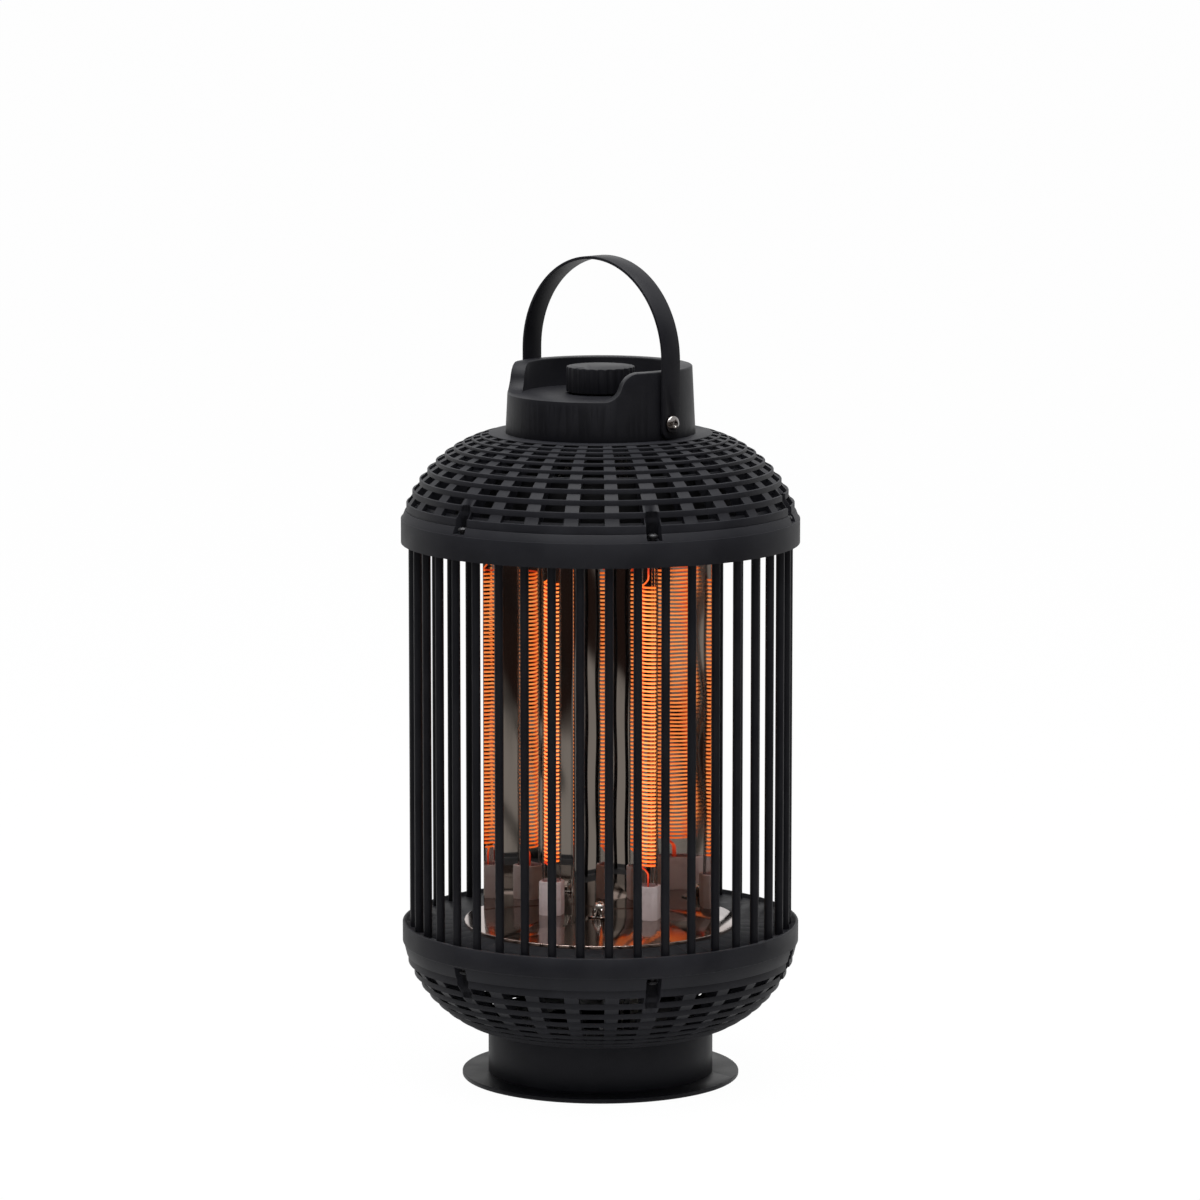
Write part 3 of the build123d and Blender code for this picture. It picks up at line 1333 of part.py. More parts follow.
# Wires from the upper caps to the rotary switch
with BuildPart() as top_wires:
    for x, centre in zip((-switch_wire_offset, switch_wire_offset), element_centres):
        add(wire_run((centre.X, centre.Y, socket_top), (x, 0, switch_bottom), shield_top + cable_rise,
                     switch_bottom - cable_rise, wire_diameter))
top_wires.part.label = "top_wires"
export_step(top_wires.part, "parts/top_wires.step")
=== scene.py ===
"""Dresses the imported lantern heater: finishes, pieces modelled finer than the solids, studio and camera."""

from __future__ import annotations

import json
import logging
import math
from dataclasses import dataclass, field
from enum import Enum
from typing import Any, Callable, Iterable, Mapping, Sequence

import bmesh
import bpy
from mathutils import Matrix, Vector

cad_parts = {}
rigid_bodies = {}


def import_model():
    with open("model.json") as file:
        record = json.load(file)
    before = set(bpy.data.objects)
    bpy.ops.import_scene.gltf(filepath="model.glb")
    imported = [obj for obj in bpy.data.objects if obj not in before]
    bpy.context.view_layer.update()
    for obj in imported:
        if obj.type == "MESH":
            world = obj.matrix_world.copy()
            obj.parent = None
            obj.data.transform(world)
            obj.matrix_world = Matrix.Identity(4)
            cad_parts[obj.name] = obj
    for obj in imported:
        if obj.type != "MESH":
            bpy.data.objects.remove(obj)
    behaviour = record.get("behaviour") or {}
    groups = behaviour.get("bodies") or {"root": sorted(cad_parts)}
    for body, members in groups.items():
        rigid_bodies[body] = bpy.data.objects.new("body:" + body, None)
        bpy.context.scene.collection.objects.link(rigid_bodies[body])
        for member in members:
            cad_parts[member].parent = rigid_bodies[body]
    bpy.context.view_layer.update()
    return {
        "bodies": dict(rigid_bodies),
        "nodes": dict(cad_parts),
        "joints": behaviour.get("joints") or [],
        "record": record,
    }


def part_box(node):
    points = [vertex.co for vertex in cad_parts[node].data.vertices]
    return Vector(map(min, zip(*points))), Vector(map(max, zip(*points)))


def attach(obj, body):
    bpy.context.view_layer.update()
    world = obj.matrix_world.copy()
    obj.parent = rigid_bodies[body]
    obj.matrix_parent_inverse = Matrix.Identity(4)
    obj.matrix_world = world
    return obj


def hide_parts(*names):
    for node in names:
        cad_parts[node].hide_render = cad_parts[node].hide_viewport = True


log = logging.getLogger("heater")

MM = 0.001
GLOW_INSET = 0.018
Colour = tuple[float, float, float]
Profile = Sequence[tuple[float, float]]


class Slot(Enum):
    """The record's material slots."""

    PAINT = "black_paint"
    SHELL = "black_shell"
    PLASTIC = "black_plastic"
    POLISHED = "polished_steel"
    ZINC = "zinc_steel"
    BLACK_STEEL = "black_steel"
    CERAMIC = "ceramic"
    QUARTZ = "quartz"
    WIRE = "glowing_wire"
    RUBBER = "rubber_pads"
    BRASS = "brass"
    WHITE_PLASTIC = "white_plastic"
    SLEEVE = "wire_sleeve"


class Signal:
    """A number that varies over a surface. Python's operators add the Math nodes that work it out."""

    def __init__(self, bench: "Bench", socket: bpy.types.NodeSocket) -> None:
        """Wrap a socket of a tree.

        Args:
            bench: What builds the tree.
            socket: The output that carries the number.
        """
        self.bench = bench
        self.socket = socket

    def math(self, operation: str, *others: "Signal | float") -> "Signal":
        """Combine this number with others in one Math node.

        Args:
            operation: The Math node's operation.
            others: The further operands.

        Returns:
            The result.
        """
        inputs = dict(enumerate((self, *others)))
        return self.bench.node("ShaderNodeMath", {"operation": operation}, inputs).signal()

    def __add__(self, other: "Signal | float") -> "Signal":
        """Return the sum."""
        return self.math("ADD", other)

    __radd__ = __add__

    def __mul__(self, other: "Signal | float") -> "Signal":
        """Return the product."""
        return self.math("MULTIPLY", other)

    __rmul__ = __mul__

    def __sub__(self, other: "Signal | float") -> "Signal":
        """Return the difference."""
        return self.math("SUBTRACT", other)

    def __rsub__(self, other: float) -> "Signal":
        """Return a number less this one."""
        return (self * -1.0) + other

    def between(self, low: float, high: float) -> "Signal":
        """Map the number so that low gives 0 and high gives 1, smoothly and held at both ends.

        Args:
            low: What becomes 0.
            high: What becomes 1.

        Returns:
            The mapped number.
        """
        inputs = {"Value": self, "From Min": low, "From Max": high}
        settings = {"interpolation_type": "SMOOTHSTEP"}
        return self.bench.node("ShaderNodeMapRange", settings, inputs).signal()


class Built:
    """A node that a bench has made."""

    def __init__(self, bench: "Bench", node: bpy.types.Node) -> None:
        """Keep the node and its bench."""
        self.bench = bench
        self.made = node

    def signal(self, name: str | int = 0) -> Signal:
        """Return one output as a number."""
        return Signal(self.bench, self.made.outputs[name])

    def out(self, name: str | int = 0) -> bpy.types.NodeSocket:
        """Return one output's socket."""
        return self.made.outputs[name]


class Bench:
    """Adds nodes to a tree. Materials and grown shapes are built on it."""

    def __init__(self, tree: bpy.types.NodeTree) -> None:
        """Work on a tree."""
        self.tree = tree

    def node(
        self, kind: str, settings: Mapping[str, Any] | None = None, inputs: Mapping[str | int, Any] | None = None
    ) -> Built:
        """Add a node.

        Args:
            kind: The node's type.
            settings: Its own settings, set first. The key stops gives a colour ramp's stops.
            inputs: Values or links of its sockets. A list links all its members to one socket.

        Returns:
            The node.
        """
        made = self.tree.nodes.new(kind)
        for name, value in (settings or {}).items():
            if name == "stops":
                self._set_stops(made, value)
            else:
                setattr(made, name, value)
        for key, value in (inputs or {}).items():
            for member in value if isinstance(value, list) else [value]:
                member = member.socket if isinstance(member, Signal) else member
                if isinstance(member, bpy.types.NodeSocket):
                    self.tree.links.new(member, made.inputs[key])
                else:
                    made.inputs[key].default_value = member
        return Built(self, made)

    @staticmethod
    def _set_stops(ramp: bpy.types.Node, stops: Sequence[tuple[float, Colour]]) -> None:
        """Give a colour ramp its stops."""
        elements = ramp.color_ramp.elements
        while len(elements) < len(stops):
            elements.new(0.5)
        for element, (position, colour) in zip(elements, stops):
            element.position = position
            element.color = (*colour, 1.0)


class Recipe(Bench):
    """Builds one material's node tree."""

    def __init__(self, name: str) -> None:
        """Start an empty material.

        Args:
            name: The material's name.
        """
        self.material = bpy.data.materials.new(name)
        self.material.use_nodes = True
        super().__init__(self.material.node_tree)
        self.tree.nodes.clear()
        self.place = self.node("ShaderNodeTexCoord").out("Object")

    def noise(self, size: float, detail: float = 3.0, seed: float = 0.0, stretch: Colour = (1.0, 1.0, 1.0)) -> Signal:
        """Noise with features of a size.

        Args:
            size: The features' size in millimetres.
            detail: How many finer layers lie on it.
            seed: Shifts the pattern.
            stretch: How much longer the features are along each axis.

        Returns:
            The noise, from 0 to 1.
        """
        scale = tuple(1.0 / s for s in stretch)
        shift = (seed, seed, seed)
        moved = self.node("ShaderNodeMapping", None, {"Vector": self.place, "Location": shift, "Scale": scale})
        inputs = {"Vector": moved.out(), "Scale": 1.0 / (size * MM), "Detail": detail}
        return self.node("ShaderNodeTexNoise", None, inputs).signal("Fac")

    def blend(self, amount: Signal | float, first: Any, second: Any) -> bpy.types.NodeSocket:
        """Mix two colours.

        Args:
            amount: 0 gives the first and 1 the second.
            first: A colour or a colour socket.
            second: A colour or a colour socket.

        Returns:
            The mixed colour's socket.
        """

        def full(colour: Any) -> Any:
            return (*colour, 1.0) if isinstance(colour, tuple) else colour

        settings = {"data_type": "RGBA"}
        mixed = self.node("ShaderNodeMix", settings, {0: amount, 6: full(first), 7: full(second)})
        return mixed.out(2)

    def relief(self, height: Signal, depth: float, distance: float = 0.001) -> bpy.types.NodeSocket:
        """Turn a height into a bumped normal.

        Args:
            height: The height, about 0 to 1.
            depth: The bump's strength.
            distance: The height that 1 stands for, in metres.

        Returns:
            The normal's socket.
        """
        return self.node("ShaderNodeBump", None, {"Strength": depth, "Distance": distance, "Height": height}).out()

    def surface(self, inputs: Mapping[str, Any]) -> bpy.types.Material:
        """End the tree in one Principled shader.

        Args:
            inputs: Its sockets' values or links.

        Returns:
            The finished material.
        """
        shader = self.node("ShaderNodeBsdfPrincipled", None, inputs)
        return self.end(shader.out())

    def end(self, shader: bpy.types.NodeSocket) -> bpy.types.Material:
        """Link a shader to the material's output and return the material."""
        self.node("ShaderNodeOutputMaterial", None, {"Surface": shader})
        return self.material


class Growth(Bench):
    """Builds one Geometry Nodes tree with named sizes, and bakes what it makes to a plain mesh."""

    def __init__(self, name: str) -> None:
        """Start an empty tree.

        Args:
            name: The tree's name, and the name of the piece that it makes.
        """
        super().__init__(bpy.data.node_groups.new(name, "GeometryNodeTree"))
        self.name = name
        self.values: dict[str, float | int] = {}
        self.tree.interface.new_socket("Geometry", in_out="OUTPUT", socket_type="NodeSocketGeometry")
        self.entry = self.tree.nodes.new("NodeGroupInput")

    def size(self, name: str, value: float | int) -> Signal:
        """Add a named input.

        Args:
            name: The input's name.
            value: Its value on this piece, in metres, radians or as a count.

        Returns:
            The input as a number.
        """
        kind = "NodeSocketInt" if isinstance(value, int) else "NodeSocketFloat"
        item = self.tree.interface.new_socket(name, in_out="INPUT", socket_type=kind)
        self.values[item.identifier] = value
        return Signal(self, self.entry.outputs[name])

    def point(self, x: Signal | float, y: Signal | float, z: Signal | float) -> bpy.types.NodeSocket:
        """Return a vector's socket."""
        return self.node("ShaderNodeCombineXYZ", None, {0: x, 1: y, 2: z}).out()

    def bar(self, curve: bpy.types.NodeSocket, radius: Signal | float, sides: int) -> bpy.types.NodeSocket:
        """Sweep a round section along a curve, with closed ends.

        Args:
            curve: The curve's socket.
            radius: The section's radius.
            sides: How many sides it has.

        Returns:
            The mesh's socket.
        """
        section = self.node("GeometryNodeCurvePrimitiveCircle", None, {"Resolution": sides, "Radius": radius})
        swept = self.node(
            "GeometryNodeCurveToMesh", None, {"Curve": curve, "Profile Curve": section.out(), "Fill Caps": True}
        )
        return swept.out()

    def bake(
        self, shape: bpy.types.NodeSocket, material: bpy.types.Material, start: bpy.types.Mesh | None = None
    ) -> bpy.types.Object:
        """End the tree in a material and turn its result into a plain mesh.

        Args:
            shape: The geometry's socket.
            material: The material of the whole piece.
            start: The mesh that the tree's geometry input takes.

        Returns:
            The piece, without a modifier.
        """
        realized = self.node("GeometryNodeRealizeInstances", None, {"Geometry": shape})
        dressed = self.node("GeometryNodeSetMaterial", None, {"Geometry": realized.out(), "Material": material})
        end = self.tree.nodes.new("NodeGroupOutput")
        self.tree.links.new(dressed.out(), end.inputs[0])
        piece = bpy.data.objects.new(self.name, start or bpy.data.meshes.new(self.name))
        bpy.context.scene.collection.objects.link(piece)
        modifier = piece.modifiers.new("grow", "NODES")
        modifier.node_group = self.tree
        for identifier, value in self.values.items():
            modifier[identifier] = value
        bpy.context.view_layer.update()
        graph = bpy.context.evaluated_depsgraph_get()
        mesh = bpy.data.meshes.new_from_object(piece.evaluated_get(graph))
        piece.modifiers.clear()
        piece.data = mesh
        return piece


@dataclass(frozen=True)
class BlackFinish:
    """Fine-grained black surface, as powder coat or moulded plastic."""

    name: str
    colour: Colour = (0.0065, 0.0066, 0.0085)
    dusty: Colour = (0.0125, 0.0125, 0.0145)
    roughness: float = 0.44
    specular: float = 0.13
    grain_size: float = 0.45
    grain_depth: float = 0.25
    cloud_size: float = 35.0

    def build(self) -> bpy.types.Material:
        """Return the material."""
        recipe = Recipe(self.name)
        grain = recipe.noise(self.grain_size, 2.0)
        cloud = recipe.noise(self.cloud_size, 3.0, 4.0).between(0.35, 0.7)
        speck = recipe.noise(self.grain_size * 2.2, 1.0, 9.0).between(0.62, 0.8)
        dust = cloud * 0.45 + speck * 0.35
        rough = (grain - 0.5) * 0.16 + (cloud * 0.08 + self.roughness)
        return recipe.surface({
            "Base Color": recipe.blend(dust, self.colour, self.dusty),
            "Roughness": rough,
            "Specular IOR Level": self.specular,
            "Normal": recipe.relief(grain, self.grain_depth, 0.0001),
        })


@dataclass(frozen=True)
class PolishedFinish:
    """Polished metal with faint drawing marks, blurrier on the floor and on the handle's bolts. Painted darker
    reflections make the floor darker and browner and make the bolts darker.
    """

    name: str
    colour: Colour = (0.6, 0.57, 0.54)
    roughness: float = 0.015
    # Painted darker, browner reflection on the floor.
    floor_reflection_shade: Colour = (0.36, 0.28, 0.25)
    # Painted darker reflection on the handle's bolts.
    bolt_reflection_shade: Colour = (0.22, 0.205, 0.195)
    floor_top: float = 0.1129
    bolt_bottom: float = 0.455
    floor_blur: float = 0.1
    bolt_blur: float = 0.08

    def build(self) -> bpy.types.Material:
        """Return the material."""
        recipe = Recipe(self.name)
        smear = recipe.noise(14.0, 4.0, 2.0, (1.0, 1.0, 6.0)).between(0.4, 0.75)
        streak = recipe.noise(0.8, 2.0, 5.0, (1.0, 1.0, 40.0))
        level = recipe.node("ShaderNodeSeparateXYZ", None, {0: recipe.place}).signal("Z")
        # Where the floor and the bolts lie. There the colour is painted darker, standing in for darker reflections,
        # and the finish is blurrier.
        floor = 1.0 - level.between(self.floor_top - 0.0002, self.floor_top)
        bolt = level.between(self.bolt_bottom, self.bolt_bottom + 0.001)
        bright = recipe.blend(smear * 0.5, self.colour, tuple(c * 0.82 for c in self.colour))
        marks = smear * 0.03 + (streak * 0.015 + self.roughness)
        return recipe.surface({
            "Base Color": recipe.blend(bolt, recipe.blend(floor, bright, self.floor_reflection_shade), self.bolt_reflection_shade),
            "Metallic": 1.0,
            "Roughness": marks + floor * self.floor_blur + bolt * self.bolt_blur,
        })


@dataclass(frozen=True)
class PlatedFinish:
    """Plain plated or blackened metal on screws, sheets and tubes."""

    name: str
    colour: Colour
    roughness: float = 0.32
    metallic: float = 1.0

    def build(self) -> bpy.types.Material:
        """Return the material."""
        recipe = Recipe(self.name)
        cloud = recipe.noise(6.0, 4.0).between(0.35, 0.7)
        grain = recipe.noise(0.5, 2.0, 3.0)
        return recipe.surface({
            "Base Color": recipe.blend(cloud * 0.6, self.colour, tuple(c * 0.75 for c in self.colour)),
            "Metallic": self.metallic,
            "Roughness": cloud * 0.1 + self.roughness,
            "Normal": recipe.relief(grain, 0.1, 0.0001),
        })


@dataclass(frozen=True)
class CeramicFinish:
    """Unglazed off-white ceramic, a little stained."""

    name: str
    colour: Colour = (0.84, 0.72, 0.69)
    stain: Colour = (0.6, 0.47, 0.42)

    def build(self) -> bpy.types.Material:
        """Return the material."""
        recipe = Recipe(self.name)
        stain = recipe.noise(7.0, 4.0, 1.0).between(0.5, 0.8)
        grain = recipe.noise(0.35, 3.0)
        return recipe.surface({
            "Base Color": recipe.blend(stain * 0.5, self.colour, self.stain),
            "Roughness": grain * 0.2 + 0.55,
            "Normal": recipe.relief(grain, 0.3, 0.0002),
        })


@dataclass(frozen=True)
class GlowFinish:
    """Resistance wire at heat: redder towards its ends, with a painted dimmer, redder glow on the side of each turn
    that faces the coil's axis.
    """

    name: str
    low: float
    high: float
    fade: float = 0.02
    strength: float = 1.7

    def build(self) -> bpy.types.Material:
        """Return the material."""
        recipe = Recipe(self.name)
        outer = recipe.node("ShaderNodeAttribute", {"attribute_name": "outer_side"}).signal("Fac").between(-0.3, 0.7)
        height = recipe.node("ShaderNodeSeparateXYZ", None, {0: recipe.place}).signal("Z")
        warm = height.between(self.low - self.fade, self.low + self.fade)
        cooler = height.between(self.high - self.fade, self.high + self.fade)
        heat = warm * (1.0 - cooler)
        uneven = recipe.noise(9.0, 2.0).between(0.2, 0.8)
        heat = heat * (uneven * 0.2 + 0.8)
        hot = [
            (0.0, (0.02, 0.004, 0.003)), (0.3, (0.5, 0.03, 0.006)),
            (0.65, (0.95, 0.18, 0.02)), (1.0, (1.0, 0.36, 0.1)),
        ]
        # Stops for the side of each turn that faces the coil's axis: a painted dimmer, redder glow, which is painted
        # shade and not a cooler wire.
        inner_shade_stops = [(0.0, (0.02, 0.002, 0.002)), (0.5, (0.4, 0.015, 0.004)), (1.0, (0.6, 0.06, 0.008))]
        glow = recipe.node("ShaderNodeValToRGB", {"stops": hot}, {0: heat})
        inner_glow_shade = recipe.node("ShaderNodeValToRGB", {"stops": inner_shade_stops}, {0: heat})
        return recipe.surface({
            "Base Color": (0.08, 0.05, 0.04, 1.0),
            "Roughness": uneven * 0.1 + 0.5,
            "Emission Color": recipe.blend(outer, inner_glow_shade.out(), glow.out()),
            "Emission Strength": self.strength,
        })


@dataclass(frozen=True)
class QuartzFinish:
    """Clear thin quartz: see-through, with a reflection that grows at its edges."""

    name: str
    tint: Colour = (0.97, 0.97, 0.97)

    def build(self) -> bpy.types.Material:
        """Return the material."""
        recipe = Recipe(self.name)
        clear = recipe.node("ShaderNodeBsdfTransparent", None, {"Color": (*self.tint, 1.0)})
        haze = recipe.noise(20.0, 3.0).between(0.3, 0.8)
        gloss = {"Color": (0.9, 0.9, 0.9, 1.0), "Roughness": haze * 0.05 + 0.03}
        shine = recipe.node("ShaderNodeBsdfGlossy", None, gloss)
        edge = recipe.node("ShaderNodeLayerWeight", None, {"Blend": 0.12}).signal("Fresnel")
        mixed = recipe.node("ShaderNodeMixShader", None, {0: edge * 0.8, 1: clear.out(), 2: shine.out()})
        return recipe.end(mixed.out())


@dataclass(frozen=True)
class SoftFinish:
    """Rubber, moulded nylon or woven sleeve on small inner pieces."""

    name: str
    colour: Colour
    roughness: float = 0.7
    grain_size: float = 0.8

    def build(self) -> bpy.types.Material:
        """Return the material."""
        recipe = Recipe(self.name)
        grain = recipe.noise(self.grain_size, 2.0)
        return recipe.surface({
            "Base Color": recipe.blend(grain, self.colour, tuple(c * 0.7 for c in self.colour)),
            "Roughness": grain * 0.1 + self.roughness,
            "Normal": recipe.relief(grain, 0.3, 0.0002),
        })


@dataclass
class Studio:
    """The pale floor, the grey sweep that only reflections see, the overhead lamp, the world and the camera."""

    distance: float = 4139.6
    height: float = 948.6
    azimuth: float = 44.6
    pitch: float = 8.36
    yaw: float = 0.0048
    roll: float = 0.0
    lens: float = 178.65
    floor_half: float = 30.0
    sweep_colour: Colour = (0.25, 0.225, 0.205)
    patch_colour: Colour = (0.018, 0.01, 0.008)
    patch_size: float = 900.0
    sweep_profile: Profile = ((0.35, 0.003), (2.0, 0.003), (4.6, 0.003), (5.0, 0.4), (5.2, 1.2), (5.2, 3.0))
    sweep_half: float = 112.0
    sweep_steps: int = 32
    floor_share: float = 0.985
    world_level: Colour = (0.32, 0.33, 0.37)
    lamp_place: Colour = (0.25, -0.3, 2.6)
    lamp_size: float = 2.2
    lamp_power: float = 120.0

    def camera(self) -> bpy.types.Object:
        """Place the camera where the photograph was taken and return it."""
        data = bpy.data.cameras.new("photo_camera")
        data.lens = self.lens
        data.sensor_width = 36.0
        data.clip_end = 100.0
        camera = bpy.data.objects.new("photo_camera", data)
        turn = math.radians(self.azimuth)
        reach = self.distance * MM
        camera.location = (reach * math.sin(turn), -reach * math.cos(turn), self.height * MM)
        camera.rotation_euler = (
            math.radians(90.0 - self.pitch), math.radians(self.roll), math.radians(self.azimuth + self.yaw)
        )
        bpy.context.scene.collection.objects.link(camera)
        bpy.context.scene.camera = camera
        return camera

    def floor(self) -> bpy.types.Object:
        """Make the pale floor and return it."""
        mesh = bpy.data.meshes.new("floor")
        h = self.floor_half
        mesh.from_pydata([(-h, -h, 0), (h, -h, 0), (h, h, 0), (-h, h, 0)], [], [(0, 1, 2, 3)])
        floor = bpy.data.objects.new("floor", mesh)
        bpy.context.scene.collection.objects.link(floor)
        recipe = Recipe("floor_white")
        rays = recipe.node("ShaderNodeLightPath")
        seen = rays.signal("Is Camera Ray") + rays.signal("Is Glossy Ray") + rays.signal("Is Transmission Ray")
        plain = recipe.node("ShaderNodeBsdfDiffuse", None, {"Color": (0.86, 0.86, 0.86, 1.0)})
        white = recipe.node("ShaderNodeEmission", None, {"Color": (1.0, 1.0, 1.0, 1.0), "Strength": 1.0})
        share = seen.math("MINIMUM", 1.0) * self.floor_share
        mixed = recipe.node("ShaderNodeMixShader", None, {0: share, 1: plain.out(), 2: white.out()})
        mesh.materials.append(recipe.end(mixed.out()))
        return floor

    def grey_sweep(self) -> None:
        """Lay a grey sweep from the object's front up behind the camera, which only glossy surfaces see."""
        recipe = Recipe("grey_sweep")
        patch = recipe.noise(self.patch_size, 1.0, 3.0).between(0.48, 0.56)
        colour = recipe.blend(patch, self.sweep_colour, self.patch_colour)
        glow = recipe.node("ShaderNodeEmission", None, {"Color": colour, "Strength": 1.0})
        points, faces = [], []
        for k in range(self.sweep_steps + 1):
            turn = math.radians(self.azimuth + self.sweep_half * (2 * k / self.sweep_steps - 1))
            for radius, level in self.sweep_profile:
                points.append((radius * math.sin(turn), -radius * math.cos(turn), level))
        rise = len(self.sweep_profile)
        for k in range(self.sweep_steps):
            for step in range(rise - 1):
                corner = k * rise + step
                faces.append((corner, corner + 1, corner + 1 + rise, corner + rise))
        mesh = bpy.data.meshes.new("grey_sweep")
        mesh.from_pydata(points, [], faces)
        mesh.materials.append(recipe.end(glow.out()))
        sweep = bpy.data.objects.new("grey_sweep", mesh)
        sweep.visible_camera = False
        sweep.visible_diffuse = False
        sweep.visible_shadow = False
        sweep.visible_transmission = False
        bpy.context.scene.collection.objects.link(sweep)

    def lamp(self, name: str, place: Colour, size: float, power: float, aim: Colour = (0.0, 0.0, 0.25)) -> None:
        """Hang a square soft lamp.

        Args:
            name: The lamp's name.
            place: Where it hangs, in metres.
            size: Its side in metres.
            power: Its power in watts.
            aim: What it points at.
        """
        data = bpy.data.lights.new(name, "AREA")
        data.shape = "SQUARE"
        data.size = size
        data.energy = power
        lamp = bpy.data.objects.new(name, data)
        lamp.location = place
        lamp.rotation_euler = (Vector(aim) - Vector(place)).to_track_quat("-Z", "Y").to_euler()
        bpy.context.scene.collection.objects.link(lamp)

    def world(self) -> None:
        """Give the world a plain level, white where the eye, metal and glass see it."""
        world = bpy.data.worlds.new("studio")
        bpy.context.scene.world = world
        world.use_nodes = True
        world.node_tree.nodes.clear()
        bench = Bench(world.node_tree)
        rays = bench.node("ShaderNodeLightPath")
        mirrored = rays.signal("Is Transmission Ray").math("MAXIMUM", rays.signal("Is Glossy Ray"))
        seen = rays.signal("Is Camera Ray").math("MAXIMUM", mirrored)
        white = bench.node("ShaderNodeBackground", None, {"Color": (1.0, 1.0, 1.0, 1.0), "Strength": 1.0})
        level = bench.node("ShaderNodeBackground", None, {"Color": (*self.world_level, 1.0)})
        mixed = bench.node("ShaderNodeMixShader", None, {0: seen, 1: level.out(), 2: white.out()})
        bench.node("ShaderNodeOutputWorld", None, {"Surface": mixed.out()})

    def build(self) -> None:
        """Build the whole studio."""
        self.camera()
        self.floor()
        self.world()
        self.grey_sweep()
        self.lamp("overhead", self.lamp_place, self.lamp_size, self.lamp_power)
        bpy.context.scene.view_settings.view_transform = "Standard"


@dataclass
class Wardrobe:
    """The finishes by slot, each made once."""

    low: float
    high: float
    made: dict[Slot, bpy.types.Material] = field(default_factory=dict)

    def finish(self, slot: Slot) -> bpy.types.Material:
        """Return a slot's material, made at its first use."""
        if slot not in self.made:
            self.made[slot] = self._choices()[slot].build()
        return self.made[slot]

    def _choices(self) -> dict[Slot, Any]:
        """Return the finish of each slot."""
        return {
            Slot.PAINT: BlackFinish("satin_black_paint", roughness=0.42, grain_size=0.35, grain_depth=0.15),
            Slot.SHELL: BlackFinish("matte_black_shell", (0.0085, 0.0087, 0.011), (0.017, 0.017, 0.02), 0.5),
            Slot.PLASTIC: BlackFinish("matte_black_plastic"),
            Slot.POLISHED: PolishedFinish("polished_steel"),
            Slot.ZINC: PlatedFinish("zinc_plated_steel", (0.55, 0.55, 0.57)),
            Slot.BLACK_STEEL: PlatedFinish("blackened_steel", (0.02, 0.02, 0.022), 0.4, 0.6),
            Slot.CERAMIC: CeramicFinish("off_white_ceramic"),
            Slot.QUARTZ: QuartzFinish("clear_quartz"),
            Slot.WIRE: GlowFinish("glowing_wire", self.low, self.high),
            Slot.RUBBER: SoftFinish("black_rubber", (0.02, 0.02, 0.02)),
            Slot.BRASS: PlatedFinish("plain_brass", (0.7, 0.5, 0.22)),
            Slot.WHITE_PLASTIC: SoftFinish("white_nylon", (0.7, 0.69, 0.65), 0.5, 2.0),
            Slot.SLEEVE: SoftFinish("woven_sleeve", (0.5, 0.46, 0.4), 0.8, 0.6),
        }


